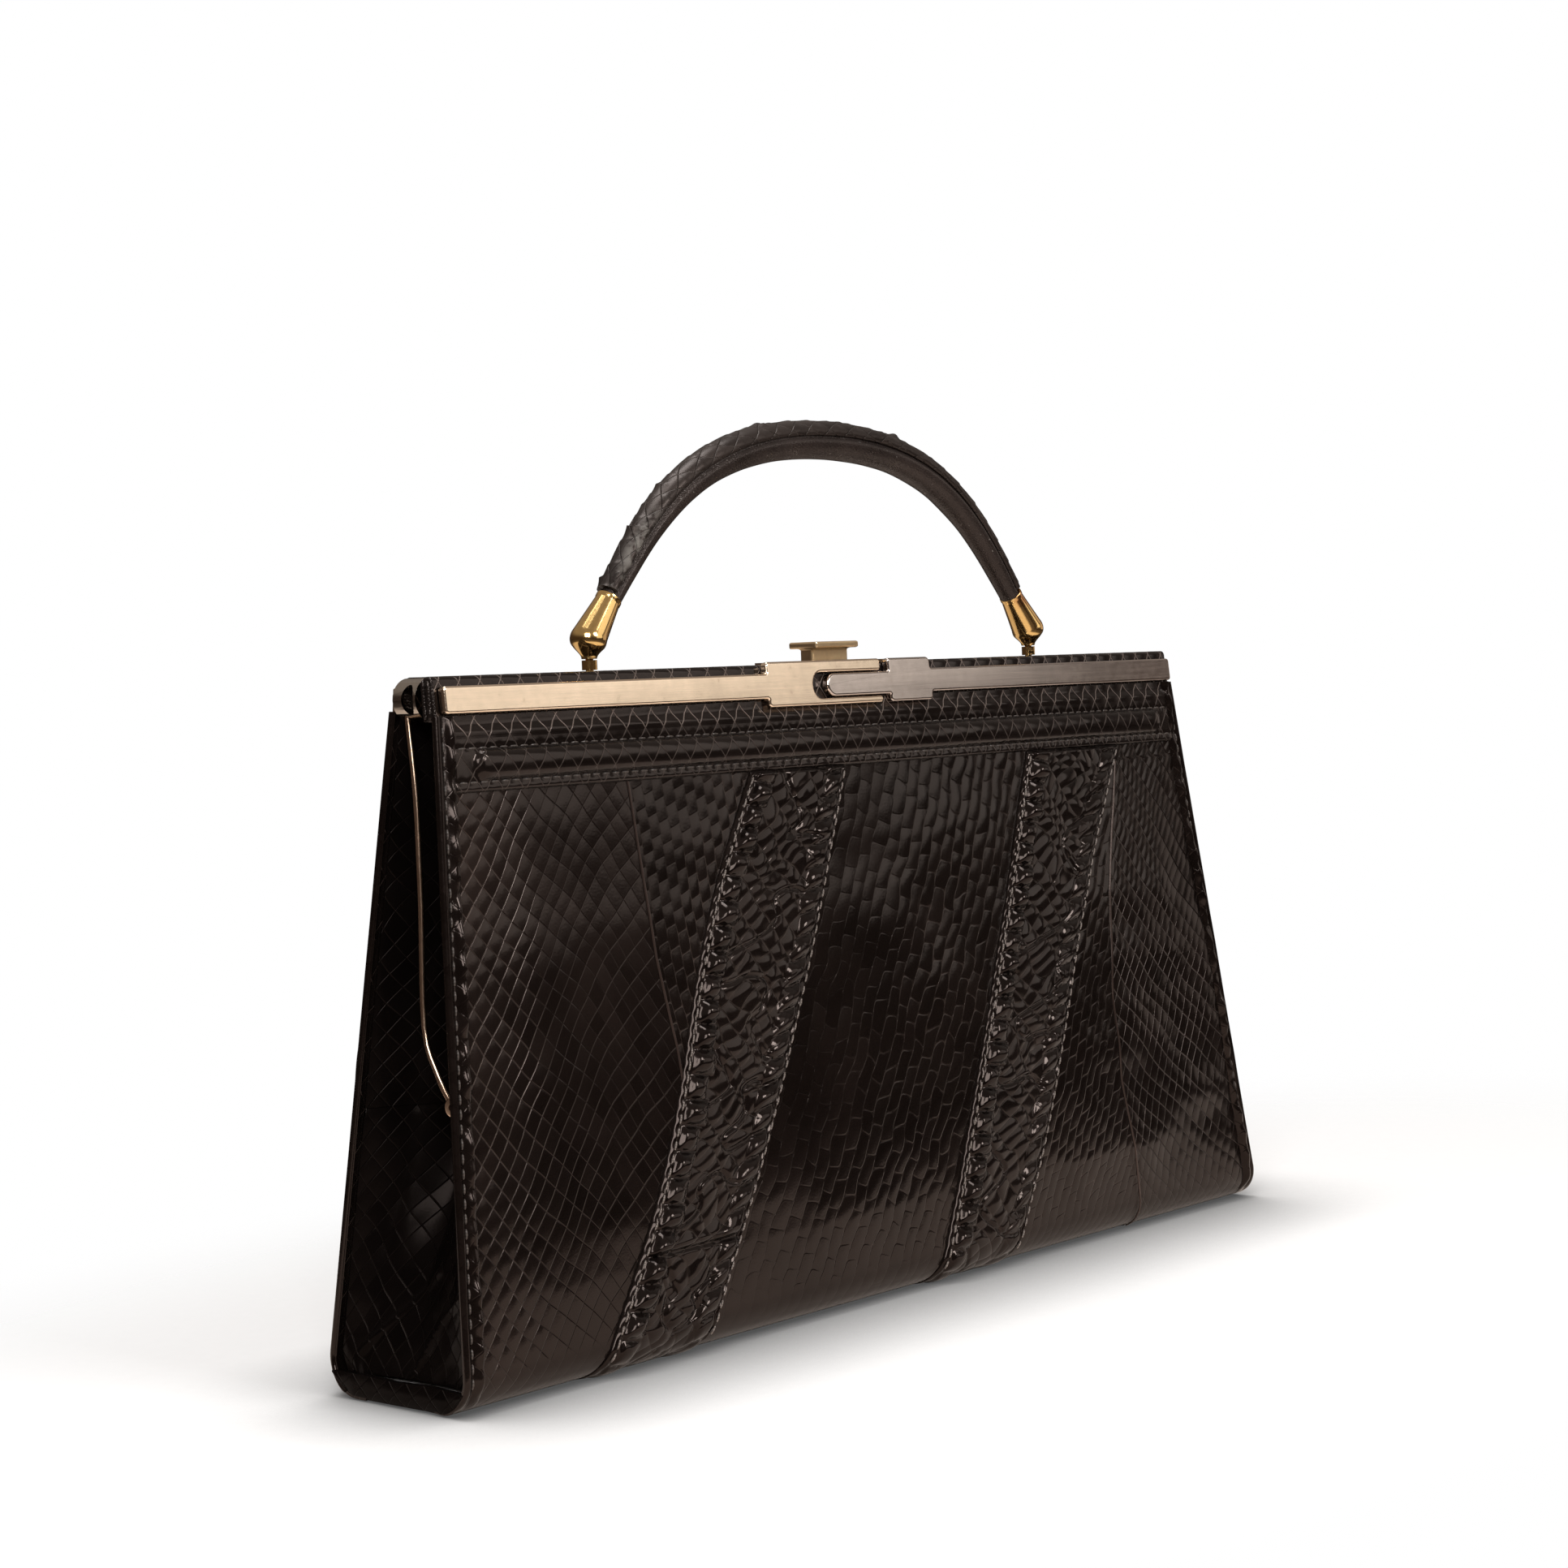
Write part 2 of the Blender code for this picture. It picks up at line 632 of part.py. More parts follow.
def gusset_row(side, z):
    """Folded section of a gusset: front edge, middle of the front flap, valley, rear flap, rear edge."""
    front_y = -face_depth(z) - LINING_INNER + TOUCH + GUSSET_THICKNESS
    if z < PANEL_BOTTOM:
        front_y *= GUSSET_FOOT_SHARE
    rear_y = -front_y
    leg = leg_x(max(z, PIVOT_Z)) - BAR_WIDTH / 2 - GUSSET_THICKNESS / 2 - 3 * TOUCH
    edge = half_width(z) - LINING_INSET
    share = min(1.0, max(0.0, (PIVOT_Z - 2 * BOSS_RADIUS - z) / (PIVOT_Z / 2)))
    front_x = leg + (edge - LINING_INSET - leg) * share - RIVET_HEAD_HEIGHT
    rise = (z - GUSSET_FOOT) / (PIVOT_Z - GUSSET_FOOT)
    if rise < 1.0:
        depth = GUSSET_VALLEY_PIVOT * math.sin(rise * math.pi / 2) + GUSSET_THICKNESS
    else:
        climb = (z - PIVOT_Z) / (PANEL_TOP - PIVOT_Z)
        depth = GUSSET_VALLEY_PIVOT + GUSSET_THICKNESS + (GUSSET_VALLEY_TOP - GUSSET_VALLEY_PIVOT) * climb
    valley_x = front_x - depth
    return [Vector((side * front_x, front_y, z)),
            Vector((side * (front_x + (valley_x - front_x) * GUSSET_FLAP_X), front_y * GUSSET_FLAP_Y, z)),
            Vector((side * valley_x, 0.0, z)),
            Vector((side * (edge + (valley_x - edge) * GUSSET_FLAP_X), rear_y * GUSSET_FLAP_Y, z)),
            Vector((side * edge, rear_y, z))]


def gusset(name, side):
    """Side gusset folded inwards, deeper towards the mouth."""
    bottom = PANEL_BOTTOM + TOUCH
    top = PANEL_TOP - 2 * TOUCH
    stations = [GUSSET_FOOT]
    stations += [bottom + (top - bottom) * step / GUSSET_ROWS for step in range(GUSSET_ROWS + 1)]
    rows = [gusset_row(side, z) for z in stations]
    width = len(rows[0])
    points = [point for row in rows for point in row]
    faces = []
    for r in range(len(rows) - 1):
        for c in range(width - 1):
            faces.append((r * width + c, r * width + c + 1, (r + 1) * width + c + 1, (r + 1) * width + c))
    mesh = bpy.data.meshes.new(name)
    mesh.from_pydata([tuple(point) for point in points], [], faces)
    part = add_part(name, mesh, "snakeskin")
    sheet = part.modifiers.new("sheet", "SOLIDIFY")
    sheet.thickness = GUSSET_THICKNESS
    sheet.offset = 0.0
    sheet.use_even_offset = True
    return shade(part)


# Top frame covers and rails


def channel_outline(left, right, top, left_drop, right_drop, left_slant, right_slant, thickness, rounding):
    """Inverted channel in the YZ plane; slants move the foot of each side outwards."""
    outer = [(left - left_slant, top - left_drop)]
    outer += arc((left + rounding, top - rounding), rounding, 180.0, 90.0, 3)
    outer += arc((right - rounding, top - rounding), rounding, 90.0, 0.0, 3)
    outer += [(right + right_slant, top - right_drop)]
    inner_round = max(rounding - thickness, thickness / 4)
    inner_left, inner_right, inner_top = left + thickness, right - thickness, top - thickness
    inner = [(right + right_slant - thickness, top - right_drop)]
    inner += arc((inner_right - inner_round, inner_top - inner_round), inner_round, 0.0, 90.0, 3)
    inner += arc((inner_left + inner_round, inner_top - inner_round), inner_round, 90.0, 180.0, 3)
    inner += [(left - left_slant + thickness, top - left_drop)]
    return outer + inner


def along_x(y, z, x):
    return Vector((x, y, z))


def cover_slant():
    return face_depth(COVER_BOTTOM) - face_depth(FRAME_TOP - COVER_ROUND)


def front_cover():
    right = PARTING_Y - PARTING_GAP / 2
    outline = channel_outline(-FACE_DEPTH_TOP, right, FRAME_TOP, COVER_DROP, COVER_DROP,
                              cover_slant(), 0.0, COVER_THICKNESS, COVER_ROUND)
    mesh = prism_mesh("front_frame_cover", outline, along_x, -FRONT_COVER_HALF, FRONT_COVER_HALF)
    return shade(add_part("front_frame_cover", mesh, "snakeskin"))


def rear_cover():
    outline = channel_outline(PARTING_Y + PARTING_GAP / 2, FACE_DEPTH_TOP, FRAME_TOP, COVER_DROP, COVER_DROP,
                              0.0, cover_slant(), COVER_THICKNESS, COVER_ROUND)
    mesh = prism_mesh("rear_frame_cover", outline, along_x, -REAR_COVER_HALF, REAR_COVER_HALF)
    part = add_part("rear_frame_cover", mesh, "snakeskin")
    cut(part, knob_slot("cover_slot"))
    for side in (LEFT, RIGHT):
        cut(part, post_hole("cover_hole", side))
    return shade(part)


def rear_rail():
    """Pressed steel channel that carries the posts, the latch and the end boxes."""
    drop = RAIL_TOP - RAIL_BOTTOM
    outline = channel_outline(RAIL_LEFT, RAIL_RIGHT, RAIL_TOP, drop, drop, 0.0, 0.0,
                              RAIL_SHEET, RAIL_ROUND)
    mesh = prism_mesh("rear_frame_rail", outline, along_x, -REAR_COVER_HALF, REAR_COVER_HALF)
    part = add_part("rear_frame_rail", mesh, "steel")
    cut(part, knob_slot("rail_slot"))
    for side in (LEFT, RIGHT):
        cut(part, post_hole("rail_hole", side))
    return shade(part)


def knob_slot(name):
    half_x = KNOB_STEM[0] / 2 + SLOT_CLEARANCE
    half_y = KNOB_STEM[1] / 2 + SLOT_CLEARANCE
    return box_mesh(name, (-half_x, KNOB_Y - half_y, RAIL_TOP - RAIL_SHEET - TOUCH),
                    (half_x, KNOB_Y + half_y, FRAME_TOP + TOUCH))


def post_hole(name, side):
    x = side * POST_X
    return cylinder_mesh(name, (x, POST_Y, RAIL_TOP - 2 * RAIL_SHEET), (x, POST_Y, FRAME_TOP + TOUCH),
                         POST_PEG_RADIUS + TOUCH, 20)


def on_bar(x, z, out):
    """Point on the plane of the front frame bar, which passes through the pivots."""
    climb = (z - PIVOT_Z) / math.cos(BAR_PLANE)
    return Vector((x, PIVOT_Y + climb * math.sin(BAR_PLANE) - out * math.cos(BAR_PLANE),
                   PIVOT_Z + climb * math.cos(BAR_PLANE) + out * math.sin(BAR_PLANE)))


def front_bar():
    """Front frame: a flat bar bent into three sides, with a pierced boss at the end of each leg."""
    half = BAR_WIDTH / 2
    foot = PIVOT_Z + BAR_FOOT_RISE
    foot_half = BOSS_THICKNESS / 2
    outer = [(leg_x(foot) + foot_half, foot)]
    corner = (leg_x(BAR_TOP) + half - BAR_CORNER, BAR_TOP - BAR_CORNER)
    outer += arc(corner, BAR_CORNER, 0.0, 90.0, 5)
    inner = arc(corner, BAR_CORNER - BAR_WIDTH, 90.0, 0.0, 5)
    inner += [(leg_x(foot) - foot_half, foot)]
    outline = (outer + [(-x, z) for x, z in reversed(outer)]
               + [(-x, z) for x, z in reversed(inner)] + inner)
    mesh = prism_mesh("front_frame_bar", outline, on_bar, -BAR_THICKNESS / 2, BAR_THICKNESS / 2)
    part = add_part("front_frame_bar", mesh, "steel", (0.0, PIVOT_Y, PIVOT_Z))
    for side in (LEFT, RIGHT):
        centre = Vector((side * PIVOT_X, PIVOT_Y, PIVOT_Z))
        reach = Vector((BOSS_THICKNESS / 2, 0.0, 0.0))
        fuse(part, cylinder_mesh("boss", centre - reach, centre + reach, BOSS_RADIUS, 28))
        cut(part, cylinder_mesh("boss_bore", centre - 2 * reach, centre + 2 * reach,
                                RIVET_RADIUS + PIVOT_CLEARANCE, 20))
    return part


def keeper():
    """Pierced plate hanging from the front bar; the latch nose stands in its window."""
    rear = BAR_TOP_Y + BAR_THICKNESS / 2 - TOUCH
    top = BAR_TOP - BAR_WIDTH - TOUCH
    half = CATCH_NOSE_WIDTH / 2 + KEEPER_WINDOW_MARGIN
    window_top = NOSE_BOTTOM + CATCH_NOSE_HEIGHT + 2 * KEEPER_WINDOW_MARGIN
    mesh = box_mesh("keeper_plate", (-KEEPER_HALF_WIDTH, rear - KEEPER_THICKNESS, KEEPER_BOTTOM),
                    (KEEPER_HALF_WIDTH, rear, top))
    part = add_part("keeper_plate", mesh, "steel")
    cut(part, box_mesh("keeper_window",
                       (-half, rear - 2 * KEEPER_THICKNESS, KEEPER_BOTTOM + KEEPER_THICKNESS),
                       (half, rear + KEEPER_THICKNESS, window_top)))
    return part


# Stay wires, rivets and end boxes


def wire_x(z):
    top = BOX_X + WIRE_TOP_INSET
    share = (BOX_Z - BOX_RADIUS - z) / (BOX_Z - BOX_RADIUS - PIVOT_Z)
    return top + ((EYE_INNER + EYE_OUTER) / 2 - top) * min(1.0, max(0.0, share))


def wire_shape(name, side):
    """Round wire from the end box down to its flattened eye at the pivot."""
    box_floor = BOX_Z - BOX_RADIUS
    drop = box_floor - PIVOT_Z
    stations = [(WIRE_TOP_Y, box_floor + WIRE_TAIL), (WIRE_TOP_Y, box_floor - WIRE_RADIUS)]
    stations += [(WIRE_TOP_Y - front, PIVOT_Z + share * drop) for front, share in WIRE_BENDS]
    stations += [(PIVOT_Y + WIRE_LOWER_BEND[0], PIVOT_Z + WIRE_LOWER_BEND[1] * drop),
                 (PIVOT_Y + WIRE_EYE_ENTRY[0], PIVOT_Z + WIRE_EYE_ENTRY[1])]
    knots = [Vector((side * wire_x(z), y, z)) for y, z in stations]
    path = smooth_path(knots, 4)
    return wire_mesh(name, path, [WIRE_RADIUS] * len(path), 2)


def stay_arm(word, side):
    part = add_part(f"stay_arm_{word}", wire_shape(f"stay_arm_{word}", side), "gold")
    inner = Vector((side * EYE_INNER, PIVOT_Y, PIVOT_Z))
    outer = Vector((side * EYE_OUTER, PIVOT_Y, PIVOT_Z))
    reach = (outer - inner) * 1.5
    fuse(part, cylinder_mesh("eye", inner, outer, EYE_RADIUS, 28))
    cut(part, cylinder_mesh("eye_bore", inner - reach, outer + reach, RIVET_RADIUS + PIVOT_CLEARANCE, 20))
    return shade(part)


def stay_rivet(word, side):
    """Tubular rivet through the eye and the boss."""
    outer = EYE_OUTER + TOUCH
    inner = PIVOT_X - BOSS_THICKNESS / 2 - TOUCH
    top, bottom = outer + RIVET_HEAD_HEIGHT, inner - RIVET_HEAD_HEIGHT
    inner_head = RIVET_HEAD_RADIUS - RIVET_HEAD_HEIGHT / 2
    profile = [(RIVET_BORE, top), (RIVET_HEAD_RADIUS * RIVET_CROWN[0], top),
               (RIVET_HEAD_RADIUS, top - RIVET_HEAD_HEIGHT * RIVET_CROWN[1]),
               (RIVET_HEAD_RADIUS, outer), (RIVET_RADIUS, outer), (RIVET_RADIUS, inner),
               (inner_head, inner), (inner_head, bottom), (RIVET_BORE, bottom)]
    place = (Matrix.Translation((0.0, PIVOT_Y, PIVOT_Z)) @ Matrix.Rotation(side * math.pi / 2, 4, "Y"))
    return turned_part(f"stay_rivet_{word}", profile, "gold", place, 20, closed=True)


def end_box(word, side):
    """Half-barrel shell that closes the end of the rear frame and holds the wire."""
    near, far = RAIL_LEFT, RAIL_RIGHT
    inner = BOX_X
    outline = [(inner, BOX_Z - BOX_RADIUS)]
    outline += arc((inner, BOX_Z), BOX_RADIUS, -90.0, 90.0, 14)[1:]
    hollow_radius = BOX_RADIUS - BOX_WALL
    hollow = [(inner - BOX_WALL, BOX_Z - hollow_radius)]
    hollow += arc((inner, BOX_Z), hollow_radius, -90.0, 90.0, 14)
    hollow += [(inner - BOX_WALL, BOX_Z + hollow_radius)]

    def along_y(x, z, y):
        return Vector((side * x, y, z))

    part = add_part(f"end_box_{word}", prism_mesh(f"end_box_{word}", outline, along_y, near, far), "silver")
    cut(part, prism_mesh("hollow", hollow, along_y, near + BOX_WALL, far - BOX_WALL))
    window_y = near + BOX_WALL + BOX_WINDOW_Y
    window = cylinder_mesh("window", (side * (inner + BOX_WALL), 0.0, 0.0),
                           (side * (inner + 2 * BOX_RADIUS), 0.0, 0.0), 1.0, 28)
    oval = Matrix.Diagonal((1.0, BOX_WINDOW_Y, BOX_WINDOW_Z, 1.0))
    window.transform(Matrix.Translation((0.0, window_y, BOX_Z)) @ oval)
    cut(part, window)
    wire = side * wire_x(BOX_Z)
    cut(part, cylinder_mesh("wire_hole", (wire, WIRE_TOP_Y, BOX_Z - 2 * BOX_RADIUS),
                            (wire, WIRE_TOP_Y, BOX_Z), WIRE_RADIUS + TOUCH, 16))
    return shade(part)


# Clasp trim


def on_front(x, z, out):
    return on_face(FRONT, x, z, out)


def on_rear(x, z, out):
    return on_face(REAR, x, z, out)


def lip_mesh(name, left, right):
    front = -face_depth(LIP_TOP) - (TOUCH + TRIM_THICKNESS) / 2
    return box_mesh(name, (left, front, LIP_BOTTOM), (right, PARTING_Y - PARTING_GAP, LIP_TOP))


def clasp_left():
    """Left trim bar, widened into a slotted plate whose lip folds over the frame top."""
    slot_radius = (SLOT_TOP - SLOT_BOTTOM) / 2
    slot_middle = (SLOT_TOP + SLOT_BOTTOM) / 2
    r = TRIM_CORNER
    outline = [(-TRIM_HALF_LENGTH, TRIM_BOTTOM), (CLASP_LEFT, TRIM_BOTTOM)]
    outline += arc((CLASP_LEFT + r, CLASP_BOTTOM + r), r, 180.0, 270.0, 4)
    outline += arc((CLASP_RIGHT - r / 2, CLASP_BOTTOM + r / 2), r / 2, 270.0, 360.0, 3)
    outline += [(CLASP_RIGHT, SLOT_BOTTOM)]
    outline += arc((SLOT_LEFT + slot_radius, slot_middle), slot_radius, 270.0, 90.0, 10)
    outline += [(CLASP_RIGHT, SLOT_TOP), (CLASP_RIGHT, LIP_TOP), (CLASP_LEFT, LIP_TOP),
                (CLASP_LEFT, TRIM_TOP), (-TRIM_HALF_LENGTH, TRIM_TOP)]
    mesh = prism_mesh("clasp_left", outline, on_front, TOUCH, TOUCH + TRIM_THICKNESS)
    part = add_part("clasp_left", mesh, "champagne")
    fuse(part, lip_mesh("clasp_left_lip", CLASP_LEFT, CLASP_RIGHT))
    return round_edges(part, TRIM_BEVEL, 2, 60.0)


def clasp_right():
    """Right trim bar, widened into a plate with a round-nosed tongue in the left plate's slot."""
    tongue_bottom, tongue_top = SLOT_BOTTOM + TOUCH, SLOT_TOP - TOUCH
    radius = (tongue_top - tongue_bottom) / 2
    middle = (tongue_top + tongue_bottom) / 2
    r = TRIM_CORNER
    outline = arc((TONGUE_LEFT + radius, middle), radius, 90.0, 270.0, 10)
    outline += [(PLATE_LEFT, tongue_bottom)]
    outline += arc((PLATE_LEFT + r, CLASP_BOTTOM + r), r, 180.0, 270.0, 4)
    outline += arc((PLATE_RIGHT - r, CLASP_BOTTOM + r), r, 270.0, 360.0, 4)
    outline += [(PLATE_RIGHT, TRIM_BOTTOM), (TRIM_HALF_LENGTH, TRIM_BOTTOM),
                (TRIM_HALF_LENGTH, TRIM_TOP), (PLATE_RIGHT, TRIM_TOP),
                (PLATE_RIGHT, LIP_TOP), (PLATE_LEFT, LIP_TOP), (PLATE_LEFT, tongue_top)]
    mesh = prism_mesh("clasp_right", outline, on_front, TOUCH, TOUCH + TRIM_THICKNESS)
    part = add_part("clasp_right", mesh, "silver")
    fuse(part, lip_mesh("clasp_right_lip", PLATE_LEFT, PLATE_RIGHT))
    return round_edges(part, TRIM_BEVEL, 2, 60.0)


def rear_trim():
    outline = [(-TRIM_HALF_LENGTH, TRIM_BOTTOM), (TRIM_HALF_LENGTH, TRIM_BOTTOM),
               (TRIM_HALF_LENGTH, TRIM_TOP), (-TRIM_HALF_LENGTH, TRIM_TOP)]
    mesh = prism_mesh("rear_trim_bar", outline, on_rear, TOUCH, TOUCH + REAR_TRIM_THICKNESS)
    return round_edges(add_part("rear_trim_bar", mesh, "champagne"), TRIM_BEVEL)


# Release knob and latch


def release_knob():
    """T-shaped knob: a block stem through the frame with a wider cap."""
    stem_bottom = RAIL_TOP - RAIL_SHEET
    cap_bottom = FRAME_TOP + KNOB_RISE
    half_x, half_y = KNOB_STEM[0] / 2, KNOB_STEM[1] / 2
    mesh = box_mesh("release_knob", (-half_x, KNOB_Y - half_y, stem_bottom),
                    (half_x, KNOB_Y + half_y, cap_bottom + KNOB_CAP[2] / 2))
    part = add_part("release_knob", mesh, "gold")
    fuse(part, box_mesh("knob_cap", (-KNOB_CAP[0] / 2, KNOB_Y - KNOB_CAP[1] / 2, cap_bottom),
                        (KNOB_CAP[0] / 2, KNOB_Y + KNOB_CAP[1] / 2, cap_bottom + KNOB_CAP[2])))
    return round_edges(part, KNOB_BEVEL)


def catch_plate():
    """Foot of the knob: a plate under the rail, with an arm down to the latch nose."""
    half_x, half_y = CATCH_PLATE[0] / 2, CATCH_PLATE[1] / 2
    bottom = CATCH_PLATE_BOTTOM
    mesh = box_mesh("catch_plate", (-half_x, KNOB_Y - half_y, bottom), (half_x, KNOB_Y + half_y, CATCH_TOP))
    part = add_part("catch_plate", mesh, "steel")
    arm_x, arm_y = CATCH_ARM[0] / 2, CATCH_ARM[1] / 2
    fuse(part, box_mesh("catch_arm", (-arm_x, KNOB_Y - arm_y, bottom - CATCH_ARM[2]),
                        (arm_x, KNOB_Y + arm_y, bottom + CATCH_PLATE[2] / 2)))
    nose = bottom - CATCH_ARM[2]
    fuse(part, box_mesh("catch_nose", (-CATCH_NOSE_WIDTH / 2, KNOB_Y - CATCH_NOSE_REACH, nose),
                        (CATCH_NOSE_WIDTH / 2, KNOB_Y + arm_y, nose + CATCH_NOSE_HEIGHT)))
    return part


def latch_bridge():
    """Strip across the rail that the knob spring stands on."""
    top = RAIL_BOTTOM + BRIDGE_THICKNESS
    mesh = box_mesh("latch_bridge", (-BRIDGE_HALF_LENGTH, RAIL_LEFT + RAIL_SHEET + TOUCH, RAIL_BOTTOM),
                    (BRIDGE_HALF_LENGTH, RAIL_RIGHT - RAIL_SHEET - TOUCH, top))
    part = add_part("latch_bridge", mesh, "steel")
    arm_x = CATCH_ARM[0] / 2 + SLOT_CLEARANCE
    arm_y = CATCH_ARM[1] / 2 + SLOT_CLEARANCE
    cut(part, box_mesh("arm_slot", (-arm_x, KNOB_Y - arm_y, RAIL_BOTTOM - TOUCH),
                       (arm_x, KNOB_Y + arm_y, top + TOUCH)))
    return part


def knob_spring():
    """Coil that lifts the knob, between the bridge and the catch plate."""
    bottom = RAIL_BOTTOM + BRIDGE_THICKNESS + TOUCH + SPRING_WIRE
    top = CATCH_PLATE_BOTTOM - TOUCH - SPRING_WIRE
    steps = SPRING_TURNS * 10
    points = []
    for step in range(steps + 1):
        angle = 2 * math.pi * SPRING_TURNS * step / steps
        points.append(Vector((SPRING_RADIUS * math.cos(angle), KNOB_Y + SPRING_RADIUS * math.sin(angle),
                              bottom + (top - bottom) * step / steps)))
    mesh = wire_mesh("knob_spring", points, [SPRING_WIRE] * len(points), 1)
    return add_part("knob_spring", mesh, "steel")


# Handle


def handle_post(word, side):
    """Round post riveted through the frame, with a peg on top for the ferrule."""
    under = RAIL_TOP - RAIL_SHEET - TOUCH
    seat = FRAME_TOP + TOUCH
    stem_top = FRAME_TOP + POST_STEM_HEIGHT
    peg_top = stem_top + POST_PEG_HEIGHT
    profile = [(0.0, peg_top), (POST_PEG_RADIUS, peg_top), (POST_PEG_RADIUS, stem_top),
               (POST_STEM_RADIUS, stem_top), (POST_STEM_RADIUS, seat),
               (POST_PEG_RADIUS, seat), (POST_PEG_RADIUS, under), (POST_TAIL_HEAD, under),
               (POST_TAIL_HEAD, under - POST_TAIL_HEAD_HEIGHT), (0.0, under - POST_TAIL_HEAD_HEIGHT)]
    place = Matrix.Translation((side * POST_X, POST_Y, 0.0))
    return turned_part(f"handle_post_{word}", profile, "gold", place)


def ferrule_place(side):
    """Frame on the ferrule's leaning axis, whose Z runs up towards the grip."""
    turn = Matrix.Rotation(-side * FERRULE_LEAN, 4, "Y")
    return Matrix.Translation((side * FERRULE_AXIS_X, POST_Y, FERRULE_AXIS_Z)) @ turn


def ring(inner, outer):
    """Circle whose diameter runs from the inner to the outer point, square to the XZ plane."""
    middle = (inner + outer) / 2
    reach = (outer - inner) / 2
    depth = Vector((0.0, reach.length, 0.0))
    angles = [2 * math.pi * step / FERRULE_SEGMENTS for step in range(FERRULE_SEGMENTS)]
    return [middle + reach * math.cos(angle) + depth * math.sin(angle) for angle in angles]


def ferrule(word, side):
    """Handle end: a closed bell that leans inwards, drawn in to a neck on the post."""
    def foot_point(place):
        return Vector((side * (POST_X + place[0]), POST_Y, FRAME_TOP + place[1]))

    place = ferrule_place(side)
    rings = [ring(foot_point(inner), foot_point(outer)) for inner, outer in FERRULE_FOOT]
    for height, radius in FERRULE_BODY:
        rings.append(ring(place @ Vector((-side * radius, 0.0, height)),
                          place @ Vector((side * radius, 0.0, height))))
    name = f"handle_ferrule_{word}"
    part = add_part(name, loft_mesh(name, rings), "gold")
    socket = cylinder_mesh("socket", (0.0, 0.0, FERRULE_LENGTH - FERRULE_SOCKET_DEPTH),
                           (0.0, 0.0, FERRULE_LENGTH + FERRULE_WALL), FERRULE_RIM_RADIUS - FERRULE_WALL)
    socket.transform(place)
    cut(part, socket)
    stem_top = FRAME_TOP + POST_STEM_HEIGHT
    x = side * POST_X
    cut(part, cylinder_mesh("peg_bore", (x, POST_Y, stem_top),
                            (x, POST_Y, stem_top + POST_PEG_HEIGHT + TOUCH), POST_PEG_RADIUS + TOUCH, 20))
    return shade(part, 40.0)


def ferrule_point(side, height):
    return ferrule_place(side) @ Vector((0.0, 0.0, height))


def arch_point(u):
    """Centre line of the grip, u from -1 at the left ferrule to 1 at the right one."""
    side = RIGHT if u > 0 else LEFT
    t = 1.0 - abs(u)
    end = ferrule_point(side, FERRULE_LENGTH)
    along = end - ferrule_point(side, 0.0)
    pulled = end + along.normalized() * GRIP_END_PULL
    apex = Vector((0.0, POST_Y, FRAME_TOP + GRIP_APEX))
    level = apex + Vector((side * GRIP_APEX_PULL, 0.0, 0.0))
    s = 1.0 - t
    return end * s ** 3 + pulled * (3 * s * s * t) + level * (3 * s * t * t) + apex * t ** 3


def grip_radius(u):
    return GRIP_END_RADIUS + (GRIP_MIDDLE_RADIUS - GRIP_END_RADIUS) * (1.0 - abs(u) ** GRIP_TAPER)


def handle_grip():
    """Padded leather grip, thicker in the middle, its ends inside the ferrules."""
    stations = [2 * step / HANDLE_STEPS - 1 for step in range(HANDLE_STEPS + 1)]
    inside = FERRULE_LENGTH - FERRULE_SOCKET_DEPTH + TOUCH
    path = [ferrule_point(LEFT, inside)]
    path += [arch_point(u) for u in stations]
    path += [ferrule_point(RIGHT, inside)]
    radii = [GRIP_END_RADIUS] + [grip_radius(u) for u in stations] + [GRIP_END_RADIUS]
    mesh = wire_mesh("handle_grip", path, radii, 6)
    return shade(add_part("handle_grip", mesh, "smooth_leather"), 60.0)


def handle_strip():
    """Snakeskin strip along the outside of the grip, from ferrule to ferrule."""
    rings = []
    angles = [STRIP_HALF_ANGLE * (2 * step / STRIP_ARC_STEPS - 1) for step in range(STRIP_ARC_STEPS + 1)]
    for step in range(HANDLE_STEPS + 1):
        u = (2 * step / HANDLE_STEPS - 1) * STRIP_SHARE
        centre = arch_point(u)
        ahead = arch_point(min(1.0, u + TANGENT_SHARE)) - arch_point(max(-1.0, u - TANGENT_SHARE))
        tangent = ahead.normalized()
        outward = Vector((-tangent.z, 0.0, tangent.x))
        sideways = Vector((0.0, 1.0, 0.0))
        inner = grip_radius(u) + TOUCH
        spokes = [outward * math.cos(angle) + sideways * math.sin(angle) for angle in angles]
        section = [centre + spoke * (inner + STRIP_THICKNESS) for spoke in spokes]
        section += [centre + spoke * inner for spoke in reversed(spokes)]
        rings.append(section)
    mesh = loft_mesh("handle_strip", rings)
    return shade(add_part("handle_strip", mesh, "snakeskin"), 50.0)


def build():
    base_tray()
    base_board()
    base_lining()
    panels()
    linings()
    yoke()
    gathered_bands()
    front_cover()
    rear_cover()
    rear_rail()
    front_bar()
    keeper()
    clasp_left()
    clasp_right()
    rear_trim()
    release_knob()
    catch_plate()
    latch_bridge()
    knob_spring()
    handle_grip()
    handle_strip()
    for word, side in (("left", LEFT), ("right", RIGHT)):
        gusset(f"gusset_{word}", side)
        stay_arm(word, side)
        stay_rivet(word, side)
        end_box(word, side)
        handle_post(word, side)
        ferrule(word, side)


build()
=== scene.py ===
"""Looks for the frame clutch bag: skins, gathered bands, linings, handle and metal round the CAD frame."""
import math

import bmesh
import bpy
import numpy as np
from mathutils import Matrix, Vector


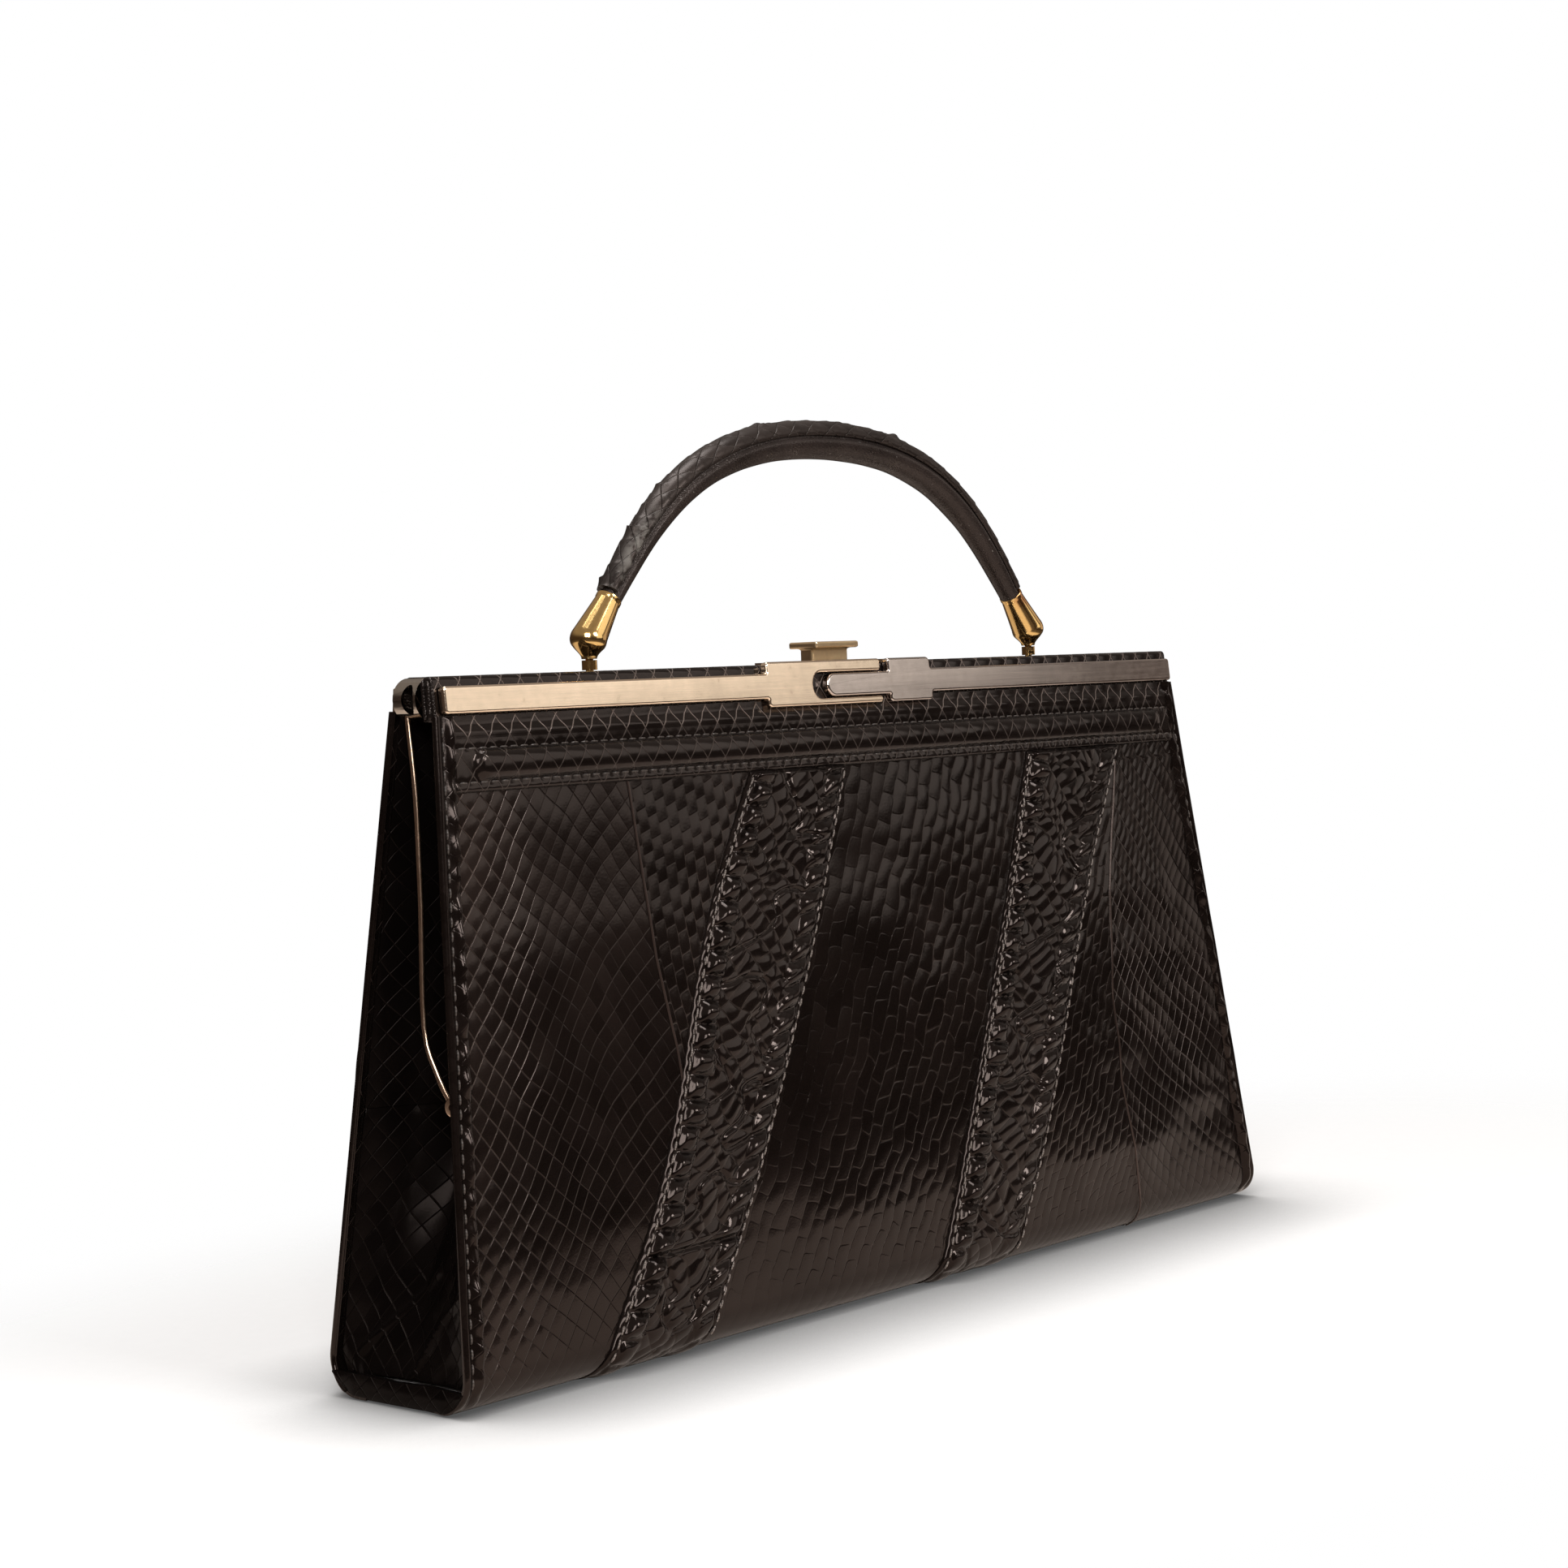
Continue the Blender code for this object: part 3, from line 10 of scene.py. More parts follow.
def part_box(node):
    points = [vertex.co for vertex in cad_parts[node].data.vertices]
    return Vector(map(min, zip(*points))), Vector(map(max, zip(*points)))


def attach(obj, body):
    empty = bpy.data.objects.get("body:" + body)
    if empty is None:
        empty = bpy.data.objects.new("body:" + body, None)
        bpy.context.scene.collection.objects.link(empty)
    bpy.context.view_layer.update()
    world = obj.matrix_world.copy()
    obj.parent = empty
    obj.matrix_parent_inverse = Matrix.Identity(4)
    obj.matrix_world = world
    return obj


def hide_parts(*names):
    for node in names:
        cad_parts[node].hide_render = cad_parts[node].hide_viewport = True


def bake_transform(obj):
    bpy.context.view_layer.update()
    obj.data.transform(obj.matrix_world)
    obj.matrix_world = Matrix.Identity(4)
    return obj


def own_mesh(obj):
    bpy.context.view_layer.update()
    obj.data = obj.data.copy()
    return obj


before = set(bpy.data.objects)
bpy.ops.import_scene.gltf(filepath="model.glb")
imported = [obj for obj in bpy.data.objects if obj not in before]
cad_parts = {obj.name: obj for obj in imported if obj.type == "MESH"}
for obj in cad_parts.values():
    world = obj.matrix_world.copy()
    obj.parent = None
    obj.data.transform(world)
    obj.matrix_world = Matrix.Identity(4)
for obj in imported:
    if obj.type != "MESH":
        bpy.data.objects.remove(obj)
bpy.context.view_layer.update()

# Dimensions repeated from the part, in metres

FRAME_TOP = 0.1708
HALF_WIDTH_TOP = 0.1530
HALF_WIDTH_BASE = 0.1680
FACE_DEPTH_TOP = 0.0068
FACE_DEPTH_BASE = 0.0245
LEAN = math.atan2(FACE_DEPTH_BASE - FACE_DEPTH_TOP, FRAME_TOP)
FRONT_CORNER = 0.0080
REAR_CORNER = 0.0095
BASE_HALF_LENGTH = 0.1671
BASE_HALF_DEPTH = 0.02346
BASE_LIP = 0.0055
BASE_LINE = 0.0100
COVER_DROP = 0.0108
COVER_THICKNESS = 0.0007
COVER_ROUND = 0.0012
PARTING_Y = -0.0033
PARTING_GAP = 0.0004
FRONT_COVER_HALF = 0.1523
REAR_COVER_HALF = 0.1484
PIVOT_Z = 0.0700
PIVOT_X = 0.1542
LEG_TOP_X = 0.1486
LEG_TOP_Z = FRAME_TOP - 0.0026
YOKE_BOTTOM = 0.1430
YOKE_TOP = 0.1612
RIDGE_CENTRE = 0.1494
RIDGE_HALF_HEIGHT = 0.0037
RIDGE_HALF_LENGTH = 0.1430
LEFT_BAND = ((-0.0449, -0.1165, 0.0, -0.0030), (-0.0080, -0.0810, 0.0030, 0.0))
RIGHT_BAND = ((0.0758, 0.0132, 0.0, 0.0), (0.1200, 0.0465, -0.0030, -0.0015))
POST_X = 0.0923
POST_Y = 0.0008
FERRULE_AXIS_X = 0.0934
FERRULE_AXIS_RISE = 0.0067
FERRULE_LEAN = math.radians(38.0)
FERRULE_LENGTH = 0.0146
FERRULE_FOOT = (((-0.00195, 0.0031), (0.00195, 0.0031)), ((-0.0022, 0.0039), (0.0021, 0.0040)),
                ((-0.0030, 0.0047), (0.0030, 0.0051)), ((-0.0034, 0.0050), (0.0039, 0.0062)),
                ((-0.00395, 0.0055), (0.0049, 0.0079)), ((-0.0043, 0.0061), (0.0044, 0.0102)))
FERRULE_BODY = ((0.0035, 0.00445), (0.0090, 0.0038), (0.0134, 0.0033), (0.0138, 0.00343), (0.0146, 0.00343))
GRIP_END_RADIUS = 0.0025
GRIP_MIDDLE_RADIUS = 0.0043
GRIP_APEX = 0.0607
GRIP_END_PULL = 0.0280
GRIP_APEX_PULL = 0.0500
GRIP_TAPER = 1.7
STRIP_HALF_ANGLE = math.radians(75.0)
KNOB_SLOT = (0.0078, 0.0025, 0.0019)

# Where the front frame's leather bends, and where the gussets turn between the two frames

GUSSET_JOIN = (0.0685, 0.0775)

# Sizes of the leatherwork, in metres. A height on a face below zero runs on under the base

SKIN_TOP = 0.1597
SKIN_THICKNESS = 0.0008
FRONT_SKIN_END = -0.0070
REAR_SKIN_END = -0.0085
STRIP_TOP = 0.1612
REAR_STRIP_TOP = 0.1628
STRIP_END = -0.0010
EDGE_SETBACK = 0.0008
EDGE_STITCH = 0.00275
STITCH_PITCH = 0.0034
STITCH_RADIUS = 0.00030
GATHER_PITCH = 0.0068
PUFF_PITCH = 0.0060
FLOOR_Z = -0.0005

SIDES = (("left", -1), ("right", 1))
# Scale coordinates of a piece that has no scales, as shell() takes them
NO_SCALES = [(0.0, 0.0, 1.0, 0.0, 0.0, 1.0)]


# Camera, fitted to the photograph

CAMERA_PLACE = (-0.6323, -0.53734, 0.16834)
CAMERA_YAW = 0.84978
CAMERA_PITCH = 0.03648
CAMERA_ROLL = -0.038543
FOCAL_PIXELS = 3723.1
IMAGE_PIXELS = 1932
SENSOR = 36.0


def link(name, data):
    made = bpy.data.objects.new(name, data)
    bpy.context.scene.collection.objects.link(made)
    return made


def make_camera():
    data = bpy.data.cameras.new("camera")
    data.sensor_width = SENSOR
    data.lens = FOCAL_PIXELS / IMAGE_PIXELS * SENSOR
    data.clip_start = 0.01
    camera = link("camera", data)
    level = Vector((math.sin(CAMERA_YAW), math.cos(CAMERA_YAW), 0.0))
    right = Vector((math.cos(CAMERA_YAW), -math.sin(CAMERA_YAW), 0.0))
    up = Vector((0.0, 0.0, 1.0))
    ahead = level * math.cos(CAMERA_PITCH) - up * math.sin(CAMERA_PITCH)
    over = up * math.cos(CAMERA_PITCH) + level * math.sin(CAMERA_PITCH)
    across = right * math.cos(CAMERA_ROLL) + over * math.sin(CAMERA_ROLL)
    above = over * math.cos(CAMERA_ROLL) - right * math.sin(CAMERA_ROLL)
    turn = Matrix((across, above, -ahead)).transposed().to_4x4()
    camera.matrix_world = Matrix.Translation(CAMERA_PLACE) @ turn
    bpy.context.scene.camera = camera


# Materials

WHITE = (1.0, 1.0, 1.0, 1.0)
WORN_GREY = (0.16, 0.15, 0.135, 1.0)
SPECK_GREY = (0.25, 0.23, 0.21, 1.0)
SKIN_TINT = (1.0, 0.80, 0.72, 1.0)
LEATHER_TINT = (1.0, 0.84, 0.77, 1.0)
TARNISH = (0.45, 0.20, 0.08, 1.0)


class Graph:
    """Adds shader nodes to one node tree and wires them."""

    def __init__(self, name=None, tree=None):
        if tree is None:
            self.material = bpy.data.materials.new(name)
            self.material.use_nodes = True
            tree = self.material.node_tree
        self.tree = tree
        self.tree.nodes.clear()

    def node(self, kind, inputs, **settings):
        node = self.tree.nodes.new("ShaderNode" + kind)
        for key, value in settings.items():
            setattr(node, key, value)
        for key, value in inputs.items():
            if isinstance(value, bpy.types.NodeSocket):
                self.tree.links.new(value, node.inputs[key])
            else:
                node.inputs[key].default_value = value
        return node

    def add(self, kind, inputs, output=0, **settings):
        return self.node(kind, inputs, **settings).outputs[output]

    def math(self, operation, a, b=0.0, c=0.0):
        return self.add("Math", {0: a, 1: b, 2: c}, operation=operation)

    def times(self, a, b):
        return self.math("MULTIPLY", a, b)

    def plus(self, a, b):
        return self.math("ADD", a, b)

    def minus(self, a, b):
        return self.math("SUBTRACT", a, b)

    def absolute(self, value):
        return self.math("ABSOLUTE", value)

    def line(self, value, slope, start):
        """The value times slope, plus start."""
        return self.math("MULTIPLY_ADD", value, slope, start)

    def between(self, value, low, high, to_low=0.0, to_high=1.0):
        return self.add("MapRange", {0: value, 1: low, 2: high, 3: to_low, 4: to_high},
                        interpolation_type="SMOOTHSTEP")

    def mix(self, factor, a, b):
        return self.add("Mix", {0: factor, 6: a, 7: b}, output=2, data_type="RGBA")

    def blend(self, factor, a, b):
        return self.add("Mix", {0: factor, 2: a, 3: b})

    def dim(self, colour, shade):
        return self.add("VectorMath", {0: colour, "Scale": shade}, operation="SCALE")

    def noise(self, scale, detail, vector, roughness=0.5):
        inputs = {"Scale": scale, "Detail": detail, "Roughness": roughness, "Vector": vector}
        return self.add("TexNoise", inputs)

    def place(self):
        return self.add("TexCoord", {}, output=3)

    def bump(self, height, distance):
        return self.add("Bump", {"Strength": 1.0, "Distance": distance, "Height": height})

    def shade(self, colour, roughness, normal, **fixed):
        inputs = {key.replace("_", " "): value for key, value in fixed.items()}
        inputs.update({"Base Color": colour, "Roughness": roughness, "Normal": normal})
        self.node("OutputMaterial", {0: self.add("BsdfPrincipled", inputs)})
        return self.material


def skin_material(name, face, line, gloss, relief=0.00026, lift=0.22, line_width=0.05, mottle=0.4,
                  shaded_side_lines=0.3, patchy=1.0, specular=0.34, brick_relief=0.35):
    """Snakeskin from the mesh's own scale coordinates: diamonds where shape x is 1, bricks where it is 0."""
    g = Graph(name)

    def parts(layer):
        outputs = g.node("SeparateXYZ", {0: g.add("UVMap", {}, uv_map=layer)}).outputs
        return outputs[0], outputs[1]

    def wrap(value):
        return g.math("WRAP", value, 0.5, -0.5)

    def square_length(pair):
        return g.plus(g.times(pair[0], pair[0]), g.times(pair[1], pair[1]))

    a, b = parts("scales")
    # The third layer holds wear and a tone that multiplies the colour; the tone carries painted light
    square, strength = parts("shape")
    wear, painted_light_tone = parts("wear_and_painted_light")
    brick = g.math("LESS_THAN", square, 0.5)

    # Each point's place in the nearest scale: of the first or second lattice of diamonds, or of the bricks
    first = (wrap(a), wrap(b))
    second = (wrap(g.plus(a, 0.5)), wrap(g.plus(b, 0.5)))
    near, far = square_length(first), square_length(second)
    other = g.math("GREATER_THAN", near, far)
    odd = g.math("FLOORED_MODULO", g.math("ROUND", a), 2.0)
    shifted = g.line(odd, 0.5, b)
    third = (first[0], wrap(shifted))

    def pick(one, two, three):
        return g.blend(brick, g.blend(other, one, two), three)

    aside = pick(first[0], second[0], third[0])
    along = pick(first[1], second[1], third[1])
    tip = g.times(g.minus(0.5, g.absolute(along)), 0.8)
    diamond = g.math("MINIMUM", g.absolute(g.minus(near, far)), tip)
    side = g.minus(0.5, g.absolute(aside))
    oblong = g.math("SMOOTH_MIN", side, g.times(tip, 1.25), 0.30)
    border = g.blend(brick, diamond, oblong)
    half = g.times(other, 0.5)
    column = g.math("ROUND", g.blend(brick, g.plus(a, half), a))
    row = g.math("ROUND", g.blend(brick, g.plus(b, half), shifted))
    cell = g.add("CombineXYZ", {0: column, 1: row, 2: pick(0.0, 1.0, 2.0)})
    chance = g.add("TexWhiteNoise", {"Vector": cell}, noise_dimensions="3D")
    turned = g.add("VectorMath", {0: cell, 1: (13.7, 5.1, 9.3)}, operation="ADD")
    chance_two = g.add("TexWhiteNoise", {"Vector": turned}, noise_dimensions="3D")

    # Each scale is domed, tilted by chance along the skin and swayed by chance across it
    place = g.place()
    fine = g.noise(1500.0, 3.0, place, 0.6)
    broad = g.noise(30.0, 3.0, place)
    worn = g.noise(300.0, 3.0, place, 0.6)
    groove = g.between(border, -0.01, line_width)
    dome = g.minus(1.0, g.times(square_length((aside, along)), 4.0))
    tilt = g.times(along, g.line(chance, -lift, -lift * 0.6))
    sway = g.times(aside, g.line(chance_two, lift * 1.6, lift * -0.8))
    height = g.plus(g.times(groove, 0.45), g.times(dome, 0.35))
    height = g.plus(height, g.plus(tilt, sway))
    height = g.times(height, g.times(strength, g.blend(brick, 1.0, brick_relief)))
    normal = g.bump(g.line(fine, 0.05, height), relief)

    # Pale lines between the scales, rubbed away in patches; partly the skin's own paler grooves and partly
    # painted highlight, full on the scale edges that face one way and weaker on the rest
    slope = g.between(g.times(aside, along), -0.02, 0.02, 1.0, shaded_side_lines)
    slope = g.blend(brick, slope, 0.75)
    gap = g.minus(1.0, groove)
    lines = g.times(gap, g.times(g.times(strength, strength), slope))
    lines = g.times(lines, g.between(worn, 0.35, 0.6, 1.0 - 0.7 * patchy, 1.0))
    lines = g.times(lines, g.between(broad, 0.38, 0.6, 1.0 - 0.75 * patchy, 1.0))
    shade = g.line(chance, mottle, 1.0 - mottle / 2)
    shade = g.times(shade, g.between(broad, 0.3, 0.7, 0.75, 1.3))
    # Painted shade: the grooves between the scales are darkened where their pale lines are weak
    shade = g.times(shade, g.line(gap, -0.5, 1.0))
    colour = g.dim(g.mix(lines, g.dim(face, shade), (*line, 1.0)), painted_light_tone)
    grey = g.times(wear, g.between(worn, 0.38, 0.6))
    colour = g.mix(grey, colour, WORN_GREY)
    roughness = g.line(grey, 0.4, g.line(lines, 0.2, g.line(chance, 0.05, gloss)))
    return g.shade(colour, roughness, normal, Specular_IOR_Level=specular, Specular_Tint=SKIN_TINT)


def leather_material(name, face, gloss, pore=1100.0, depth=0.00006, wear=0.0):
    g = Graph(name)
    place = g.place()
    cells = g.add("TexVoronoi", {"Scale": pore, "Vector": place}, feature="DISTANCE_TO_EDGE")
    fine = g.noise(2600.0, 3.0, place, 0.6)
    broad = g.noise(45.0, 3.0, place)
    crease = g.noise(220.0, 4.0, place, 0.65)
    height = g.plus(g.between(cells, 0.0, 0.25, 0.0, 0.7), g.times(fine, 0.3))
    height = g.plus(height, g.times(crease, 2.0))
    colour = g.dim(face, g.between(broad, 0.3, 0.7, 0.75, 1.3))
    specks = g.times(g.between(g.noise(700.0, 2.0, place), 0.70, 0.76), wear)
    colour = g.mix(specks, colour, SPECK_GREY)
    roughness = g.between(crease, 0.3, 0.7, gloss - 0.06, gloss + 0.10)
    normal = g.bump(height, depth)
    return g.shade(colour, roughness, normal, Specular_IOR_Level=0.35, Specular_Tint=LEATHER_TINT)


def cloth_material(name, face, threads=420.0):
    g = Graph(name)
    place = g.place()
    warp, weft = [g.add("TexWave", {"Scale": threads, "Distortion": 0.6, "Detail": 1.0, "Vector": place},
                        output=1, bands_direction=direction) for direction in "XZ"]
    weave = g.math("MAXIMUM", warp, weft)
    broad = g.noise(60.0, 3.0, place)
    shade = g.times(g.between(weave, 0.0, 1.0, 0.6, 1.1), g.between(broad, 0.3, 0.7, 0.85, 1.15))
    roughness = g.between(broad, 0.3, 0.7, 0.72, 0.9)
    return g.shade(g.dim(face, shade), roughness, g.bump(weave, 0.00008), Sheen_Weight=0.3)


def board_material(name, face):
    g = Graph(name)
    fibre = g.noise(900.0, 4.0, g.add("Mapping", {0: g.place(), 3: (0.15, 1.0, 1.0)}), 0.7)
    dark = (face[0] * 0.7, face[1] * 0.65, face[2] * 0.6, 1.0)
    colour = g.mix(g.between(fibre, 0.35, 0.65), (*face, 1.0), dark)
    return g.shade(colour, g.between(fibre, 0.3, 0.7, 0.75, 0.95), g.bump(fibre, 0.00015))


def metal_material(name, face, gloss, grain=(1.0, 1.0, 1.0), scratch=0.000004, age=0.0, worn_spot=None):
    """Plated metal: fine grain along one direction, light wear and a little tarnish."""
    g = Graph(name)
    place = g.place()
    brushed = g.noise(900.0, 4.0, g.add("Mapping", {0: place, 3: grain}), 0.7)
    broad = g.noise(55.0, 3.0, place)
    smudge = g.noise(320.0, 4.0, place, 0.65)
    shade = g.times(g.between(broad, 0.3, 0.7, 0.93, 1.05), g.between(brushed, 0.3, 0.7, 0.95, 1.04))
    tarnish = g.times(g.between(smudge, 0.62, 0.78), age)
    if worn_spot is not None:
        centre, reach = worn_spot
        away = g.add("VectorMath", {0: place, 1: centre}, output=1, operation="DISTANCE")
        rubbed = g.between(g.line(smudge, reach, away), reach * 0.8, reach * 1.6, 0.85, 0.0)
        tarnish = g.math("MAXIMUM", tarnish, rubbed)
    colour = g.mix(tarnish, g.dim(face, shade), TARNISH)
    roughness = g.plus(g.line(smudge, 0.10, gloss - 0.05), g.times(brushed, 0.06))
    return g.shade(colour, roughness, g.bump(brushed, scratch), Metallic=1.0)


def thread_material(name, face):
    g = Graph(name)
    twist = g.add("TexWave", {"Scale": 700.0, "Distortion": 1.0, "Vector": g.place()}, output=1,
                  bands_direction="DIAGONAL")
    colour = g.mix(twist, (*face, 1.0), (face[0] * 0.5, face[1] * 0.5, face[2] * 0.5, 1.0))
    return g.shade(colour, g.between(twist, 0.0, 1.0, 0.30, 0.5), g.bump(twist, 0.00005))


ALONG_X = (0.03, 1.0, 1.0)
SKIN = skin_material("front_snakeskin", face=(0.0048, 0.0033, 0.0028), line=(0.052, 0.038, 0.032), gloss=0.10,
                     specular=0.30)
BAND_SKIN = skin_material("gathered_snakeskin", face=(0.0045, 0.0031, 0.0027), line=(0.022, 0.016, 0.013),
                          gloss=0.08, relief=0.00012, lift=0.1, line_width=0.09, shaded_side_lines=0.8, specular=0.29)
YOKE_SKIN = skin_material("yoke_snakeskin", face=(0.0052, 0.0037, 0.0032), line=(0.200, 0.160, 0.140),
                          gloss=0.12, relief=0.00014, lift=0.12, mottle=0.3, shaded_side_lines=0.9, patchy=0.25)
# Darker copy of the snakeskin for the gussets and the ends of the base: painted shade
SHADED_SIDE_SKIN = skin_material("side_snakeskin_painted_shade", face=(0.0030, 0.0022, 0.0020), line=(0.011, 0.008, 0.007),
                          gloss=0.20, shaded_side_lines=0.8, specular=0.045)
STRIP_SKIN = skin_material("handle_snakeskin", face=(0.0165, 0.0126, 0.0110), line=(0.078, 0.064, 0.056),
                           gloss=0.36, relief=0.00036, lift=0.5, mottle=0.6, specular=0.32)
LEATHER = leather_material("smooth_black_leather", face=(0.0060, 0.0045, 0.0040), gloss=0.24)
GRIP_LEATHER = leather_material("grip_leather", face=(0.0205, 0.0152, 0.0135), gloss=0.30, wear=0.6)
LINING = cloth_material("lining_cloth", face=(0.055, 0.044, 0.040))
BOARD = board_material("pressed_board", face=(0.30, 0.24, 0.17))
CHAMPAGNE = metal_material("champagne_plate", face=(0.95, 0.77, 0.58), gloss=0.14, grain=ALONG_X, age=0.3)
SILVER = metal_material("silver_plate", face=(0.61, 0.535, 0.485), gloss=0.12, grain=ALONG_X, age=0.1)
BOX_SILVER = metal_material("end_box_silver", face=(0.46, 0.41, 0.35), gloss=0.12, age=0.3)
GOLD = metal_material("gold_plate", face=(0.84, 0.56, 0.22), gloss=0.11, age=0.4,
                      worn_spot=((0.0860, -0.0030, 0.1880), 0.0040))
WIRE_GOLD = metal_material("wire_gold", face=(0.66, 0.48, 0.35), gloss=0.18, scratch=0.0000005, age=0.15)
STEEL = metal_material("pressed_steel", face=(0.42, 0.42, 0.43), gloss=0.36, grain=(0.2, 1.0, 1.0), age=0.2)
# Lighter, rougher copy of the gold for the release knob: painted light on its stem and cap
KNOB_GOLD_PAINTED_LIGHT = metal_material("knob_gold_painted_light", face=(1.0, 0.76, 0.46), gloss=0.28, scratch=0.000001, age=0.15)
# Black thread drawn dark grey: partly its own colour, partly painted highlight where it catches the light
THREAD = thread_material("black_thread", face=(0.075, 0.060, 0.052))
# Lighter copy of the black thread for the band seams: painted glints on the stitches
THREAD_PAINTED_GLINT = thread_material("black_thread_painted_glint", face=(0.200, 0.165, 0.145))


# Shapes of the body


def unit(value):
    return np.clip(value, 0.0, 1.0)


def around(count):
    """Angles of a full turn in equal steps."""
    return np.linspace(0.0, 2 * np.pi, count, endpoint=False)


def run_along(points):
    """Distance of each point from the first, along the line."""
    return np.concatenate([[0.0], np.cumsum(np.linalg.norm(np.diff(points, axis=0), axis=1))])


def resample(values, count):
    return np.interp(np.linspace(0, len(values) - 1, count), np.arange(len(values)), values)


def face_depth(z):
    return FACE_DEPTH_BASE + (FACE_DEPTH_TOP - FACE_DEPTH_BASE) * z / FRAME_TOP


def half_width(z):
    return HALF_WIDTH_BASE + (HALF_WIDTH_TOP - HALF_WIDTH_BASE) * np.clip(z, 0.0, None) / FRAME_TOP


def seam_x(seam, z):
    top, base, bow, sway = seam
    share = (YOKE_BOTTOM - z) / (YOKE_BOTTOM - BASE_LINE)
    turn = np.pi * unit(share)
    return top + (base - top) * share + bow * np.sin(turn) + sway * np.sin(2 * turn)


def wrapped_face(side, corner, x, t, out):
    """Points on a front or rear face, t metres up it; below its corner t runs on round and under the base."""
    x, t, out = np.broadcast_arrays(np.asarray(x, float), np.asarray(t, float), np.asarray(out, float))
    joint = corner * (1.0 + math.sin(LEAN))
    centre = face_depth(joint) - corner * math.cos(LEAN)
    angle = np.clip((joint - t) / corner, 0.0, math.pi / 2 + LEAN) - LEAN
    flat = np.clip((joint - t) - corner * (math.pi / 2 + LEAN), 0.0, None)
    depth = np.where(t > joint, face_depth(t), centre + corner * np.cos(angle) - flat)
    height = np.where(t > joint, t, corner - corner * np.sin(angle))
    depth = depth + out * np.cos(angle)
    height = height - out * np.sin(angle)
    return np.stack([x, side * depth, height], axis=-1)


def front_face(x, t, out):
    return wrapped_face(-1, FRONT_CORNER, x, t, out)


def rear_face(x, t, out):
    return wrapped_face(1, REAR_CORNER, x, t, out)


def wobble(u, v, seed, size=64):
    """Smooth repeatable noise from -1 to 1."""
    grid = np.random.default_rng(seed).uniform(-1.0, 1.0, (size, size))
    u, v = np.broadcast_arrays(np.asarray(u, float), np.asarray(v, float))
    i, j = np.floor(u).astype(int), np.floor(v).astype(int)
    fu, fv = u - i, v - j
    fu, fv = fu * fu * (3 - 2 * fu), fv * fv * (3 - 2 * fv)
    low = grid[i % size, j % size] * (1 - fu) + grid[(i + 1) % size, j % size] * fu
    high = grid[i % size, (j + 1) % size] * (1 - fu) + grid[(i + 1) % size, (j + 1) % size] * fu
    return low * (1 - fv) + high * fv


def hump(distance, width):
    return np.exp(-(distance / width) ** 2)


def half_round(share):
    """Height of a quarter circle, from 0 at its foot to 1."""
    return np.sqrt(unit(1.0 - (1.0 - share) ** 2))


def scale_dome(a, b, square):
    """Rounded top of each scale in the lattice, highest in its middle."""
    if square < 0.5:
        b = b + 0.5 * (np.round(a) % 2)
        return 1.0 - 3.5 * ((a - np.round(a)) ** 2 + (b - np.round(b)) ** 2)
    near = (a - np.round(a)) ** 2 + (b - np.round(b)) ** 2
    far = (a + 0.5 - np.round(a + 0.5)) ** 2 + (b + 0.5 - np.round(b + 0.5)) ** 2
    return 1.0 - 4.5 * np.minimum(near, far)


def new_piece(name, mesh, material, angle=60.0):
    piece = link(name, mesh)
    mesh.materials.clear()
    mesh.materials.append(material)
    mesh.shade_smooth()
    mesh.set_sharp_from_angle(angle=math.radians(angle))
    return piece


def across_fold(piece):
    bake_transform(piece)


def declare(piece, slot, body, *nodes):
    """Hides the nodes a piece stands for and gives it its body, or with None bakes its placing into its mesh,
    for a piece across the fold. The slot is not used.
    """
    if nodes:
        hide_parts(*nodes)
    if body is None:
        across_fold(piece)
    else:
        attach(piece, body)


def write_layers(mesh, values):
    """Scale, shape, and wear and painted light coordinates, two columns of values each, for every face corner.
    """
    for number, name in enumerate(("scales", "shape", "wear_and_painted_light")):
        pair = values[..., 2 * number:2 * number + 2]
        mesh.uv_layers.new(name=name).data.foreach_set("uv", pair.astype(np.float32).ravel())


def shell(name, outer, inner, material, coords, choice=None, angle=60.0):
    """Closed sheet between two grids; coords is a list of (a, b, square, strength, wear, tone) grids."""
    rows, cols = outer.shape[:2]
    count = rows * cols
    index = np.arange(count).reshape(rows, cols)
    quads = np.stack([index[:-1, :-1], index[:-1, 1:], index[1:, 1:], index[1:, :-1]], axis=-1).reshape(-1, 4)
    rim = np.concatenate([index[0, :-1], index[:-1, -1], index[-1, :0:-1], index[:0:-1, 0]])
    beside = np.roll(rim, -1)
    sides = np.stack([beside, rim, rim + count, beside + count], axis=-1)
    faces = np.concatenate([quads, quads[:, ::-1] + count, sides])
    r, c = rows // 2, cols // 2
    facing = np.cross(outer[r, c + 1] - outer[r, c], outer[r + 1, c] - outer[r, c])
    if np.dot(facing, outer[r, c] - inner[r, c]) < 0:
        faces = faces[:, ::-1]
    points = np.concatenate([outer.reshape(-1, 3), inner.reshape(-1, 3)])
    mesh = bpy.data.meshes.new(name)
    mesh.from_pydata(points.tolist(), [], faces.tolist())
    stacked = [np.stack([np.broadcast_to(part, (rows, cols)) for part in item], axis=-1) for item in coords]
    values = np.stack([np.tile(item.reshape(-1, 6), (2, 1)) for item in stacked])
    picked = np.zeros(len(faces), int)
    if choice is not None:
        flat = choice[:-1, :-1].reshape(-1)
        picked[:2 * len(flat)] = np.tile(flat, 2)
    write_layers(mesh, values[picked[:, None], faces])
    return new_piece(name, mesh, material, angle)


